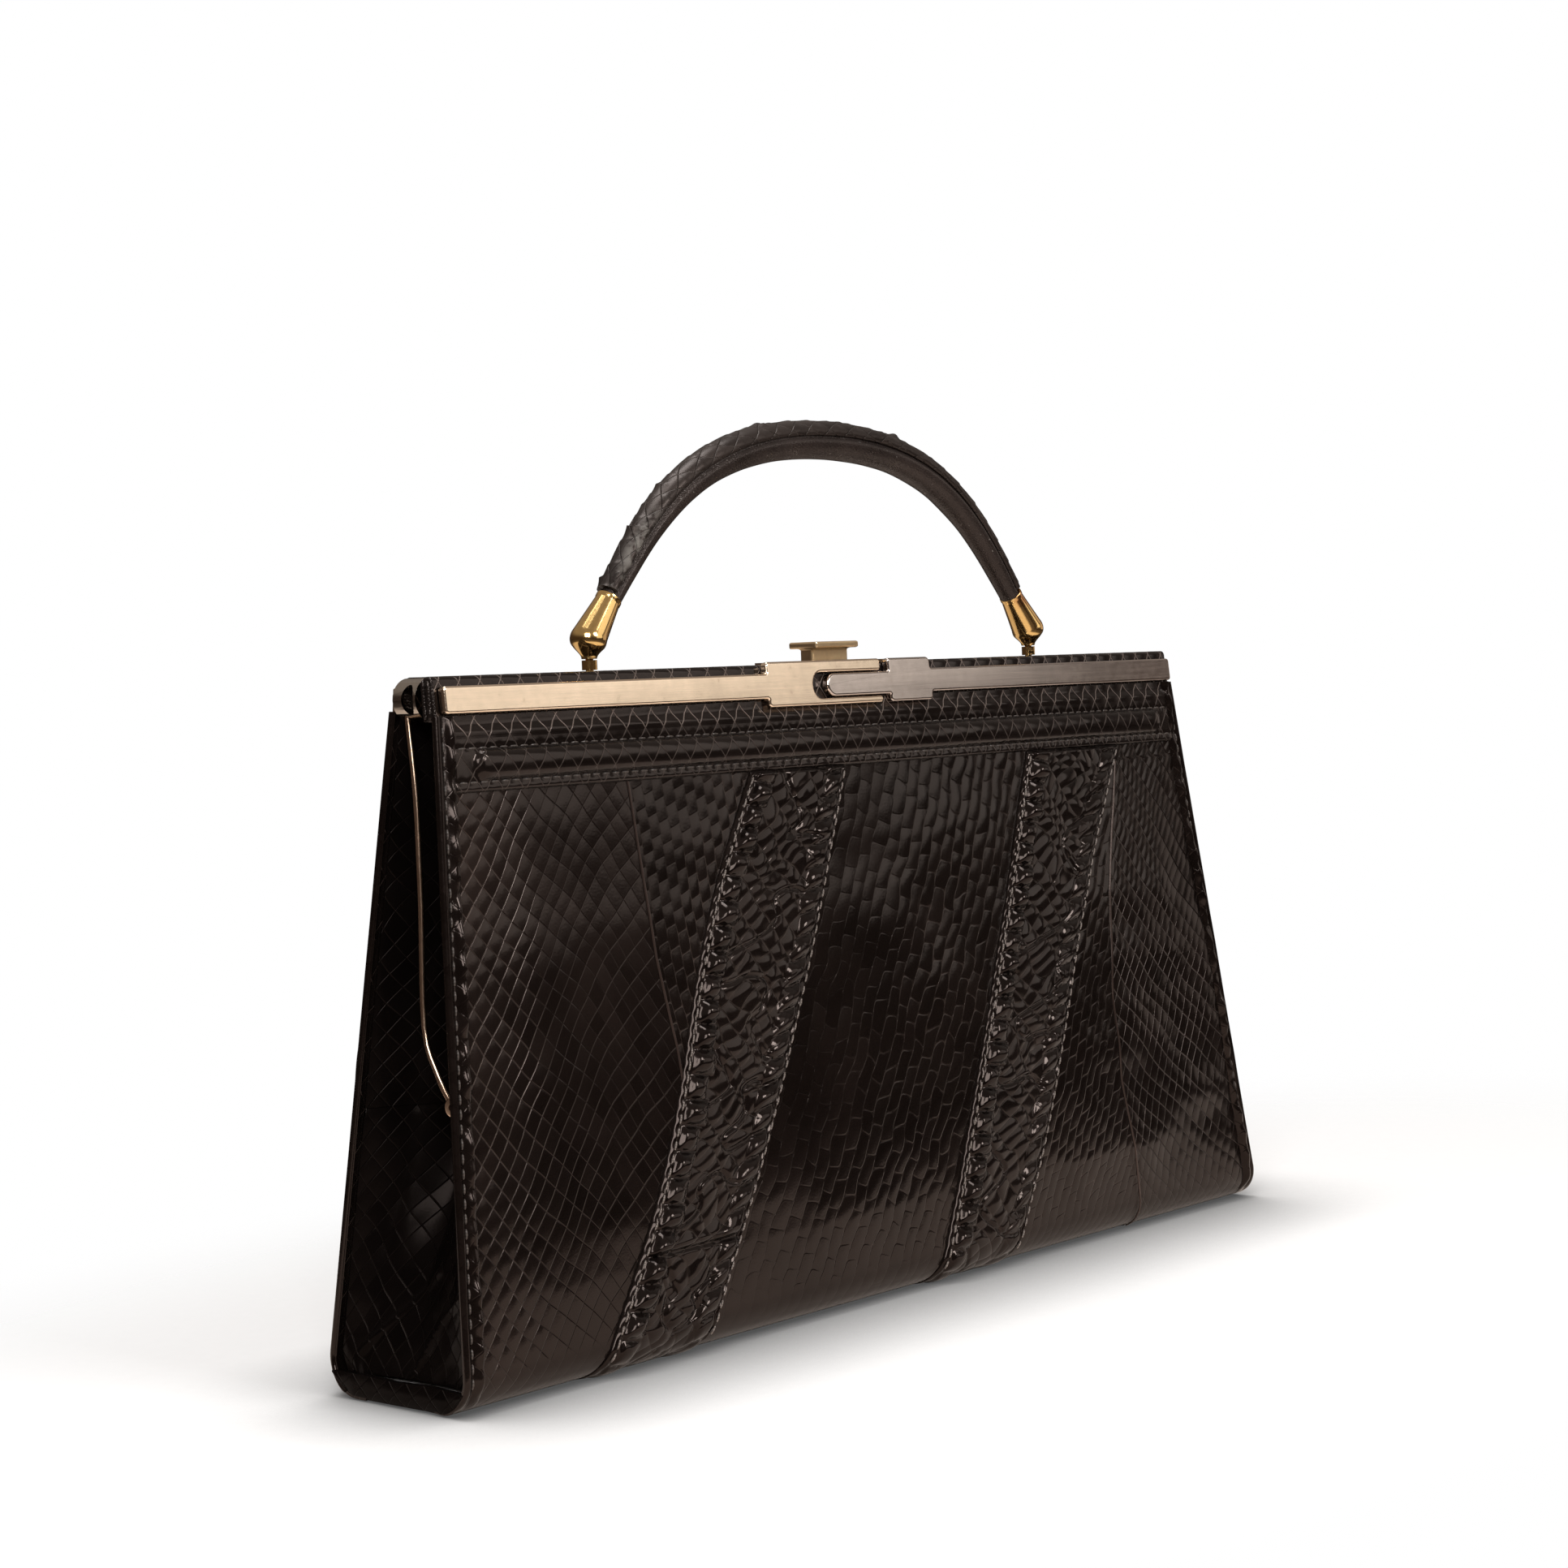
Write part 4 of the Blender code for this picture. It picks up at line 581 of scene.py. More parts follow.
def tube(name, rings, material, angle=60.0):
    """Closed solid through rings of points."""
    rings = np.asarray(rings, float)
    rows, cols = rings.shape[:2]
    index = np.arange(rows * cols).reshape(rows, cols)
    after = np.roll(index, -1, axis=1)
    quads = np.stack([index[:-1], after[:-1], after[1:], index[1:]], axis=-1).reshape(-1, 4)
    mesh = bpy.data.meshes.new(name)
    faces = quads.tolist() + [index[0][::-1].tolist(), index[-1].tolist()]
    mesh.from_pydata(rings.reshape(-1, 3).tolist(), [], faces)
    work = bmesh.new()
    work.from_mesh(mesh)
    bmesh.ops.recalc_face_normals(work, faces=work.faces)
    work.to_mesh(mesh)
    work.free()
    return new_piece(name, mesh, material, angle)


# Place along half a stitch, and its thickness there, as shares
STITCH_RINGS = ((-1.0, 0.35), (-0.72, 0.9), (0.0, 1.0), (0.72, 0.9), (1.0, 0.35))
STITCH_SIDES = 6
STITCH_FILL = 0.72


def stitches(name, points, normals, radius, material):
    """Row of thread stitches, each a small capsule lying on the surface."""
    run = run_along(points)
    number = max(1, int(run[-1] / STITCH_PITCH))

    def at(line, where):
        return np.array([np.interp(where, run, line[:, k]) for k in range(3)])

    verts, faces = [], []
    for item in range(number):
        middle = (item + 0.5) * run[-1] / number
        start, end = [at(points, middle + turn * STITCH_PITCH * STITCH_FILL / 2) for turn in (-1, 1)]
        up = at(normals, middle)
        up = up / np.linalg.norm(up)
        axis = end - start
        side = np.cross(axis / np.linalg.norm(axis), up)
        base = len(verts)
        for share, width in STITCH_RINGS:
            centre = (start + end) / 2 + axis / 2 * share - up * radius * 0.5 * abs(share)
            verts += [centre + (side * math.cos(angle) + up * math.sin(angle)) * radius * width
                      for angle in around(STITCH_SIDES)]
        last = base + (len(STITCH_RINGS) - 1) * STITCH_SIDES
        for ring in range(base, last, STITCH_SIDES):
            for k in range(STITCH_SIDES):
                here, beside = ring + k, ring + (k + 1) % STITCH_SIDES
                faces.append((here, beside, beside + STITCH_SIDES, here + STITCH_SIDES))
        faces.append(tuple(base + k for k in reversed(range(STITCH_SIDES))))
        faces.append(tuple(last + k for k in range(STITCH_SIDES)))
    mesh = bpy.data.meshes.new(name)
    mesh.from_pydata([tuple(v) for v in verts], [], faces)
    return new_piece(name, mesh, material, 80.0)


def sew(name, body, face, x, t, lift, radius=STITCH_RADIUS, material=THREAD):
    """Row of stitches along a line of a face, lift metres off it."""
    line, above = face(x, t, lift), face(x, t, lift + 0.001)
    declare(stitches(name, line, above - line, radius, material), "snakeskin", body)


# Front skin, in five cuts of skin joined by thin seams and the gathered bands

# Height and x of the points on the two thin seams
LEFT_JOIN = ((0.0657, -0.0849), (0.0760, -0.0855), (0.0987, -0.0891), (0.1190, -0.0901), (0.1435, -0.0913),
             (0.17, -0.092))
RIGHT_JOIN = ((-0.02, 0.1062), (0.0138, 0.1044), (0.0444, 0.1003), (0.0685, 0.0999), (0.1000, 0.1050),
              (0.1385, 0.1190))
# Rise of the first cut's rows of scales with distance from the bag's left edge
CHEVRON_X = (0.0, 0.012, 0.030, 0.048, 0.070, 0.100)
CHEVRON_RISE = (0.0, 0.0, 0.0045, 0.0115, 0.0040, -0.0060)
SCALE_RELIEF = 0.00010
LAP_HEIGHT = 0.00022
LEFT_LAP = (0.066, 0.150)
RIGHT_LAP = (-0.01, 0.1385)


def join_x(line, t):
    return np.interp(t, [z for z, x in line], [x for z, x in line])


def left_join_x(t):
    return np.where(t > LEFT_JOIN[0][0], join_x(LEFT_JOIN, t), seam_x(LEFT_BAND[0], t))


def right_join_x(t):
    return np.where(t < RIGHT_JOIN[-1][0], join_x(RIGHT_JOIN, t), seam_x(RIGHT_BAND[1], t))


def spread(u, near, far, length):
    """Scale count across a skin whose scales change from one width to another."""
    slope = (far - near) / length
    u = np.clip(u, -0.05, length * 1.2)
    return np.log(1.0 + slope * u / near) / slope


def front_cuts(x, t):
    """Lattice of each cut of skin at every point: (a, b, square, strength)."""
    warp_a = 0.12 * wobble(x / 0.010, t / 0.010, 3) + 0.15 * wobble(x / 0.045, t / 0.045, 4)
    warp_b = 0.12 * wobble(x / 0.011, t / 0.011, 5) + 0.15 * wobble(x / 0.05, t / 0.05, 6)
    uneven_a = warp_a + 0.20 * wobble(x / 0.0065, t / 0.0065, 7)
    uneven_b = warp_b + 0.20 * wobble(x / 0.0065, t / 0.0065, 8)
    # Left end to first seam: diamonds in chevrons
    u = x + half_width(t)
    climb = sum(np.interp(u + shift, CHEVRON_X, CHEVRON_RISE) for shift in (-0.005, 0.0, 0.005)) / 3
    fade = 0.25 + 0.75 * unit((0.034 - u) / 0.024)
    chevrons = (spread(u, 0.0054, 0.0064, 0.08) + warp_a, (t - climb) / 0.0071 + warp_b, 1.0, fade)
    # First seam to left band: narrow bricks
    u = x - left_join_x(t)
    near = unit(1.0 - (seam_x(LEFT_BAND[0], t) - x) / 0.018)
    narrow = (u / 0.0037 + warp_a, t / 0.0056 - u / 0.0160 + warp_b * 0.6, 0.0, 0.50 + 0.50 * near)
    # Between the bands: wide bricks that narrow to the right
    u = x - seam_x(LEFT_BAND[1], t)
    fade = 0.30 + 0.40 * unit((u - 0.018) / 0.03)
    middle = (spread(u, 0.0056, 0.0044, 0.09) + uneven_a, t / 0.0072 + u / 0.030 + uneven_b, 0.0, fade)
    # Right band to last seam: narrow bricks
    u = x - seam_x(RIGHT_BAND[1], t)
    right = (u / 0.0037 + uneven_a, t / 0.0068 - u / 0.0300 + uneven_b * 0.8, 0.0, 0.85)
    # Last seam to right end: diamonds
    u = x - right_join_x(t)
    last = (spread(u, 0.0046, 0.0062, 0.06) + warp_a, t / 0.0068 - u / 0.016 + warp_b, 1.0, 0.80)
    return [chevrons, narrow, middle, right, last]


def front_choice(x, t):
    """Number of the cut of skin that each point is on."""
    middles = [(seam_x(seams[0], t) + seam_x(seams[1], t)) / 2 for seams in (LEFT_BAND, RIGHT_BAND)]
    borders = (left_join_x(t), *middles, right_join_x(t))
    pick = np.zeros(np.broadcast(x, t).shape, int)
    for number, border in enumerate(borders, 1):
        pick = np.where(x > border, number, pick)
    return pick


def swell(x, t):
    """Soft bulges of leather glued over board, fuller and more rippled towards the base and the right."""
    share = np.clip(x / half_width(t), -1.0, 1.0)
    climb = unit(t / YOKE_BOTTOM)
    right = unit(x / 0.10)
    across = 1.0 - np.abs(share) ** (4.0 + 6.0 * right)
    full = (0.0010 + 0.0014 * right) * across * np.sin(np.pi * climb ** 0.8)
    slack = 0.35 + 1.25 * unit(x / 0.12 - 0.2) * unit(1.3 - climb)
    ripple = 0.00055 * wobble(x / 0.026, t / 0.020, 11) + 0.00024 * wobble(x / 0.011, t / 0.009, 12)
    return full + slack * ripple


def front_out(x, t):
    return 0.00015 + swell(x, t) * unit((t - 0.004) / 0.02)


def faint_below(t):
    return 0.35 + 0.65 * unit((t - 0.004) / 0.012)


def skin_grid(rows, cols, end):
    """Places x and t of a skin's points, from its top to its end under the base."""
    t = np.linspace(SKIN_TOP, end, rows)[:, None]
    x = np.linspace(-1.0, 1.0, cols)[None, :] * (half_width(t) - EDGE_SETBACK)
    return x, np.broadcast_to(t, x.shape)


def front_skin():
    x, t = skin_grid(188, 380, FRONT_SKIN_END)
    cuts = front_cuts(x, t)
    pick = front_choice(x, t)
    relief = np.select([pick == number for number in range(5)],
                       [scale_dome(a, b, square) * strength for a, b, square, strength in cuts])
    relief = relief * SCALE_RELIEF * faint_below(t)
    step = np.zeros_like(x)
    for border, (low, high) in ((left_join_x(t), LEFT_LAP), (right_join_x(t), RIGHT_LAP)):
        lap = LAP_HEIGHT * (hump(x - border + 0.0006, 0.0008) - hump(x - border - 0.0005, 0.0006))
        step = step + np.where((t > low) & (t < high), lap, 0.0)
    tuck = 0.0003 * hump(t - FRONT_SKIN_END, 0.002)
    outer = front_face(x, t, front_out(x, t) + relief + step - tuck)
    inner = front_face(x, t, -SKIN_THICKNESS)
    # The first cut's colour is painted lighter towards the top and towards the left edge, standing in for the
    # light it reflects there
    painted_brightening = 0.8 * unit((t - 0.070) / 0.040) + 0.4 * unit((0.026 - x - half_width(t)) / 0.014)
    painted_light_tones = (1.0 + painted_brightening, 1.0, 1.0, 1.0, 1.0)
    coords = [(a, b, square, strength * faint_below(t), 0.0, painted_light_tone)
              for (a, b, square, strength), painted_light_tone in zip(cuts, painted_light_tones)]
    piece = shell("front_skin", outer, inner, SKIN, coords, pick)
    declare(piece, "snakeskin", None, "front_panel_lower", "front_fold", "front_panel_upper")


def rear_skin():
    """Two cuts of diamonds, each measured from its own edge, joined in the middle."""
    x, t = skin_grid(132, 260, REAR_SKIN_END)
    warp_a = 0.10 * wobble(x / 0.011, t / 0.011, 23) + 0.25 * wobble(x / 0.045, t / 0.045, 24)
    warp_b = 0.10 * wobble(x / 0.012, t / 0.012, 25) + 0.25 * wobble(x / 0.05, t / 0.05, 26)
    cuts = []
    for side in (1, -1):
        u = half_width(t) + side * x
        ridge = np.where(u < 0.075, u, 0.150 - u)
        cuts.append((spread(u, 0.0068, 0.0050, 0.17) + warp_a, t / 0.0088 + ridge / 0.05 + warp_b, 1.0, 1.0))
    pick = np.where(x > 0.0, 1, 0)
    relief = np.where(pick == 0, *[scale_dome(*cut[:3]) for cut in cuts]) * SCALE_RELIEF * faint_below(t)
    seam = 0.00022 * hump(x + 0.0007, 0.0008) - 0.00025 * hump(x - 0.0004, 0.0005)
    outer = rear_face(x, t, front_out(-x, t) + relief + seam)
    inner = rear_face(x, t, -SKIN_THICKNESS)
    coords = [(a, b, square, strength * faint_below(t), 0.0, 1.0) for a, b, square, strength in cuts]
    declare(shell("rear_skin", outer, inner, SKIN, coords, pick), "snakeskin", "rear_body", "rear_panel")


# Rolled edges: an outer bead, a row of stitches, and a puffed strip beside it

# Distance in from the edge, and height off the face
EDGE_SECTION = ((0.00110, -0.00100), (0.00060, -0.00075), (0.00035, -0.00025), (0.00045, 0.00035),
                (0.00085, 0.00080), (0.00140, 0.00095), (0.00195, 0.00075), (0.00240, 0.00035),
                (0.00275, 0.00015), (0.00310, 0.00040), (0.00360, 0.00095), (0.00430, 0.00160),
                (0.00500, 0.00160), (0.00560, 0.00105), (0.00610, 0.00040), (0.00640, 0.00000))


def edge_strip(name, side, face, top, body):
    t = np.linspace(top, STRIP_END, 250)[:, None]
    inward, height = [resample(values, 34)[None, :] for values in zip(*EDGE_SECTION)]
    puff = unit((inward - 0.0028) / 0.001)
    gather = 1.0 + puff * (0.14 * np.cos(2 * np.pi * t / GATHER_PITCH + 0.7 * side)
                           + 0.42 * wobble(t / 0.0085, inward / 0.004, 31))
    ripple = 0.00012 * wobble(t / 0.003, inward / 0.0020, 32) * puff
    press = 0.9 * unit((t - STRIP_END) / 0.010) + 0.1 * unit((t - STRIP_END) / 0.001)
    out = height * np.where(height > 0, gather * press, 1.0) + ripple * (height > 0)
    x = side * (half_width(t) - inward)
    t = np.broadcast_to(t, x.shape)
    out = out + front_out(x, t) * unit(inward / 0.006)
    under_x = side * (half_width(t) - np.clip(inward, 0.0009, 0.0060))
    outer, inner = face(x, t, out), face(under_x, t, np.minimum(out - 0.0003, -0.0003))
    a = inward / 0.0050 + 0.2 * wobble(t / 0.008, inward / 0.004, 33)
    declare(shell(name, outer, inner, SKIN, [(a, t / 0.0062, 0.9, 0.2 * puff, 0.0, 1.0)]), "snakeskin", body)
    line_t = np.linspace(top - 0.002, 0.006, 120)
    sew(name + "_stitches", body, face, side * (half_width(line_t) - EDGE_STITCH), line_t, 0.00050)


# Yoke

YOKE_SETBACK = 0.0050
YOKE_THICKNESS = 0.0008
YOKE_LIFT = 0.00095
RIDGE_HEIGHT = 0.0019
UPPER_STITCHES = 0.1534
LOWER_STITCHES = 0.1453


def yoke():
    rows = np.linspace(YOKE_BOTTOM, YOKE_TOP, 44)[:, None]
    share = np.linspace(-1.0, 1.0, 420)[None, :]
    x = share * (half_width(rows) - YOKE_SETBACK)
    z = np.broadcast_to(rows, x.shape)
    full = half_round(unit((RIDGE_HALF_LENGTH - np.abs(x)) / RIDGE_HALF_HEIGHT))
    across = unit(np.abs(z - RIDGE_CENTRE) / (RIDGE_HALF_HEIGHT * np.clip(full, 0.05, 1.0)))
    ridge = RIDGE_HEIGHT * full * np.sqrt(unit(1.0 - across ** 2.4))
    hem = half_round(unit((z - YOKE_BOTTOM) / 0.0007)) * unit((0.1592 - z) / 0.0018)
    side_edge = unit((1.0 - np.abs(share)) / 0.004)
    groove = 0.00022 * (hump(z - UPPER_STITCHES, 0.0006) + hump(z - LOWER_STITCHES, 0.0006))
    pucker = hump(z - UPPER_STITCHES, 0.0010) + hump(z - LOWER_STITCHES, 0.0010)
    pucker = 0.00010 * np.cos(2 * np.pi * x / STITCH_PITCH) * pucker
    a = x / 0.0067 + 0.06 * wobble(x / 0.012, z / 0.010, 41)
    b = (z - 0.1563) / 0.0092 + 0.04 * wobble(x / 0.014, z / 0.012, 42)
    relief = 0.00005 * scale_dome(a, b, 1.0) + 0.00010 * wobble(x / 0.018, z / 0.01, 43)
    out = 0.0003 + (YOKE_THICKNESS * hem + ridge - groove + pucker + relief) * np.sqrt(side_edge)
    outer, inner = front_face(x, z, out + front_out(x, z) * 0.5), front_face(x, z, 0.0001)
    shown = 0.50 + 0.50 * unit((z - 0.1558) / 0.0010)
    piece = shell("yoke_band", outer, inner, YOKE_SKIN, [(a, b, 1.0, shown, 0.0, 1.0)])
    declare(piece, "snakeskin", "front_frame", "yoke")
    for word, height in (("upper", UPPER_STITCHES), ("lower", LOWER_STITCHES)):
        line_x = np.linspace(-1.0, 1.0, 300) * (half_width(height) - 0.0065)
        lift = YOKE_LIFT + front_out(line_x, height) * 0.5
        sew(f"yoke_stitches_{word}", "front_frame", front_face, line_x, height, lift)


# Gathered bands: rows of puffs between two piped seams, over loose creased skin

BAND_TOP = YOKE_BOTTOM + 0.0002
BAND_END = -0.0035
BAND_MARGIN = 0.0011
PIPING_HEIGHT = 0.00110
PIPING_WIDTH = 0.00080
PUFF_REACH = 0.0042
SWELL_HEIGHT = 0.00035
CREASE_DEPTH = 0.00070
LOOSE_RELIEF = 0.00052


def band(word, seams, fullness, join=None):
    t = np.linspace(BAND_TOP, BAND_END, 400)[:, None]
    left, right = seam_x(seams[0], t), seam_x(seams[1], t)
    x = left - BAND_MARGIN + (right - left + 2 * BAND_MARGIN) * np.linspace(0.0, 1.0, 104)[None, :]
    t = np.broadcast_to(t, x.shape)
    from_left, from_right = x - left, right - x
    from_seam = np.minimum(from_left, from_right)
    inside = unit(from_seam / 0.0022)
    inside = inside * inside * (3 - 2 * inside)
    middle = unit(from_seam / ((right - left) / 2))
    beads = 0.86 + 0.14 * np.cos(2 * np.pi * t / STITCH_PITCH)
    piping = PIPING_HEIGHT * beads * (hump(from_left, PIPING_WIDTH) + hump(from_right, PIPING_WIDTH))
    puffs = np.zeros_like(x)
    near_seam = np.zeros_like(x)
    for off, phase, seed, amount in ((from_left, 0.0, 51, fullness[0]), (from_right, 0.9, 52, fullness[1])):
        along = (t + 0.15 * off + 0.0006 * wobble(t / 0.020, 0.5, seed)) / PUFF_PITCH + phase
        number = np.round(along)
        lobe = 1.0 - np.abs(2.0 * (along - number)) ** 2.2
        reach = PUFF_REACH + 0.0007 * wobble(number, 0.3, seed + 10)
        cover = unit(1.0 - np.abs((off - reach) / reach) ** 2.4)
        puffs += amount * lobe * cover * (0.85 + 0.35 * wobble(number, 0.7, seed + 20))
        near_seam = np.maximum(near_seam, unit(1.9 - off / 0.0044))
    loose = unit(1.0 - near_seam)
    swells = SWELL_HEIGHT * wobble(x / 0.0100, t / 0.0080, 53)
    creases = CREASE_DEPTH * hump(wobble((x + 0.5 * t) / 0.0150, (t - 0.3 * x) / 0.0080, 55), 0.07)
    a = (x - left) / 0.0078 + 0.30 * wobble(x / 0.0080, t / 0.0080, 57)
    b = t / 0.0062 + 0.30 * wobble(x / 0.0080, t / 0.0080, 58)
    scales = LOOSE_RELIEF * scale_dome(a, b, 1.0) * (0.75 + 0.55 * wobble(x / 0.0060, t / 0.0055, 59))
    body = 0.00060 + 0.00040 * np.sin(np.pi * middle / 2) ** 0.7
    out = 0.0002 + piping + inside * (body + puffs + (swells - creases + scales) * (0.15 + 0.85 * loose))
    if join is not None:
        out = out + inside * (0.0005 * hump(t - join - 0.0018, 0.0014) - 0.0008 * hump(t - join, 0.0005))
    press = 0.22 + 0.78 * unit((t + 0.001) / 0.010)
    tail = unit((t - BAND_END) / 0.0015)
    top = np.clip((BAND_TOP - t) / 0.001, 0.3, 1.0)
    out = 0.0001 + np.maximum(out, 0.0) * press * tail * top
    outer, inner = front_face(x, t, out + front_out(x, t)), front_face(x, t, front_out(x, t) - 0.0002)
    coords = [(a, b, 1.0, 0.10 + 0.80 * loose * inside, 0.0, 1.0)]
    name = f"gathered_band_{word}"
    declare(shell(name, outer, inner, BAND_SKIN, coords, angle=100.0), "snakeskin", None,
            f"{name}_lower", f"{name}_upper")
    for edge, seam in zip("ab", seams):
        line_t = np.linspace(YOKE_BOTTOM - 0.001, 0.004, 200)
        line_x = seam_x(seam, line_t)
        lift = 0.00135 + front_out(line_x, line_t)
        sew(f"band_stitches_{word}_{edge}", None, front_face, line_x, line_t, lift, 0.00028, THREAD_PAINTED_GLINT)


def join_welt(name, border, low, high):
    """Thin raised edge where one cut of skin overlaps the next."""
    t = np.linspace(high, low, 120)
    x = border(t)
    lift = front_out(x, t) + 0.00022
    rings = [front_face(x + 0.00042 * math.cos(angle), t, lift + 0.00026 * math.sin(angle))
             for angle in around(8)]
    piece = tube(name, np.stack(rings, axis=1), SKIN)
    # Painted highlight: a tone of 11 makes the welt's colour eleven times lighter than the skin's
    write_layers(piece.data, np.tile((0.25, 0.25, 1.0, 0.0, 0.0, 11.0), (len(piece.data.loops), 1)))
    declare(piece, "snakeskin", None)


# Base

SOLE_INSET = 0.0009
SOLE_TOP = 0.0037


def base_outline(inset, points):
    """Section of the base from its front lip round under to its rear lip, as y and z."""
    section = []
    for side, corner in ((-1, FRONT_CORNER), (1, REAR_CORNER)):
        radius = corner - inset
        centre = side * (BASE_HALF_DEPTH - corner)
        arc = [(centre + side * radius * math.cos(a), corner - radius * math.sin(a))
               for a in np.linspace(0.0, np.pi / 2, points)]
        section += arc if side < 0 else arc[::-1]
    return np.array(section)


def base_pieces():
    section = base_outline(SOLE_INSET, 14)
    section = section[section[:, 1] < 0.0040]
    xs = np.linspace(-BASE_HALF_LENGTH + 0.0006, BASE_HALF_LENGTH - 0.0006, 90)
    z = np.clip(section[:, 1:] - 0.0007, 0.0, None)
    outer = np.stack(np.broadcast_arrays(xs, section[:, :1], z), axis=-1)
    inner = outer * (1.0, 0.985, 1.0)
    inner[..., 2] = np.clip(outer[..., 2] + 0.0012, 0.0016, SOLE_TOP)
    sole = shell("base_sole", outer, inner, LEATHER, NO_SCALES)
    declare(sole, "smooth_leather", "rear_body", "base_tray")
    section = base_outline(-0.0001, 22)
    section = section[section[:, 1] < BASE_LIP]
    y, low = resample(section[:, 0], 90), np.clip(resample(section[:, 1], 90), 0.0, None)
    rows = np.linspace(0.0, 1.0, 12)[:, None]
    for word, side in SIDES:
        wave = 0.00045 * wobble(y / 0.007, 0.5, 61 + side)
        top = np.maximum(BASE_LIP + 0.0003 + wave, low + 0.0006)
        z = low + (top - low) * rows
        bulge = 0.0006 * np.sin(np.pi * rows ** 0.8) + 0.00025 * wobble(y / 0.005, z / 0.003, 63 + side)
        outer = np.stack(np.broadcast_arrays(side * (BASE_HALF_LENGTH - 0.0002 + bulge), y, z), axis=-1)
        inner = outer.copy()
        inner[..., 0] = side * (BASE_HALF_LENGTH - 0.0016)
        coords = [(y / 0.0062, z / 0.0060, 1.0, 0.55, 0.0, 1.0)]
        declare(shell(f"base_lip_{word}", outer, inner, SHADED_SIDE_SKIN, coords), "snakeskin", "rear_body")


# Gussets

GUSSET_LOW = 0.0056
GUSSET_TOP = 0.1607
GUSSET_FOOT = 0.0058
GUSSET_THICKNESS = 0.0007
# How far the gusset's front edge stands behind the face and inside the leg, and its rear edge inside the side
GUSSET_BEHIND = 0.0029
LEG_INSET = 0.0028
SIDE_INSET = 0.0016
VALLEY_LOW = 0.0110
VALLEY_MORE = 0.0170
FLAP_SHARE = 0.575


def leg_x(z):
    return PIVOT_X + (LEG_TOP_X - PIVOT_X) * (z - PIVOT_Z) / (LEG_TOP_Z - PIVOT_Z)


def gusset_grid(side, z, count=56):
    """Folded gusset: front edge, front flap, inward valley, rear flap, rear edge."""
    front_y = -face_depth(z) + GUSSET_BEHIND
    front_y = np.where(z < 0.0103, front_y * (0.87 + 0.13 * unit((z - GUSSET_FOOT) / 0.0045)), front_y)
    leg = leg_x(np.maximum(z, PIVOT_Z)) - LEG_INSET
    edge = half_width(z) - SIDE_INSET
    share = unit((PIVOT_Z - 0.0042 - z) / (PIVOT_Z / 2))
    front_x = leg + (edge - SIDE_INSET - leg) * share - 0.0008
    rise = (z - GUSSET_FOOT) / (PIVOT_Z - GUSSET_FOOT)
    climb = unit((z - PIVOT_Z) / (SKIN_TOP - PIVOT_Z))
    low_depth = VALLEY_LOW * np.sin(unit(rise) * np.pi / 2)
    valley = front_x - np.where(rise < 1.0, low_depth, VALLEY_LOW + VALLEY_MORE * climb) - 0.0008
    knots_x = np.stack([front_x, (front_x + valley) / 2, valley, (edge + valley) / 2, edge], axis=-1)
    knots_y = front_y[:, None] * np.array([1.0, FLAP_SHARE, 0.0, -FLAP_SHARE, -1.0])
    u = np.linspace(0.0, 4.0, count)
    start = np.clip(np.floor(u).astype(int), 0, 3)
    f = u - start
    mixed = 0.55 * f + 0.45 * f * f * (3 - 2 * f)
    x = knots_x[:, start] * (1 - mixed) + knots_x[:, start + 1] * mixed
    y = knots_y[:, start] * (1 - f) + knots_y[:, start + 1] * f
    return side * x, y, np.broadcast_to(z[:, None], x.shape), u


def gusset_part(name, side, low, high, rows, overlap):
    """Part of a gusset; overlap is how far it goes behind the part above, near its top."""
    x, y, z, u = gusset_grid(side, np.linspace(high, low, rows))
    free = unit(u / 0.35) * unit((4 - u) / 0.35)
    crush = unit((0.050 - z) / 0.03)
    crease = 0.0009 * hump(wobble((z + 0.9 * y) / 0.016, (y - 0.5 * z) / 0.022, 71 + side), 0.06)
    soft = 0.0002 * wobble(z / 0.018, y / 0.01, 72 + side)
    behind = unit((y - 0.0005) / 0.0025)
    z = z + 0.0026 * behind * unit((z - 0.1500) / 0.0107)
    crumple = 0.00030 * wobble((z + y) / 0.0045, (y - z) / 0.012, 75 + side)
    push = free * (soft + (crumple - crease) * crush) + overlap * unit((z - 0.066) / 0.0025)
    outer = np.stack([x - side * push, y, z], axis=-1)
    inner = outer - (side * GUSSET_THICKNESS, 0.0, 0.0)
    a = 2.0 * u + 0.12 * wobble(z / 0.012, u, 73)
    b = z / 0.0072 + 0.12 * wobble(z / 0.012, u, 74)
    return shell(name, outer, inner, SHADED_SIDE_SKIN, [(a, b, 0.8, 1.0, 0.0, 1.0)])


def gusset(word, side):
    lower = gusset_part(f"gusset_{word}_lower", side, GUSSET_LOW, GUSSET_JOIN[1], 96, 0.0006)
    declare(lower, "snakeskin", "rear_body", f"gusset_{word}")
    upper = gusset_part(f"gusset_{word}_upper", side, GUSSET_JOIN[0], GUSSET_TOP, 118, 0.0)
    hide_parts(f"gusset_{word}")
    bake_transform(upper)


# Linings

LINING_LOW = 0.0135
LINING_OUT = -0.0012
LINING_IN = -0.00175


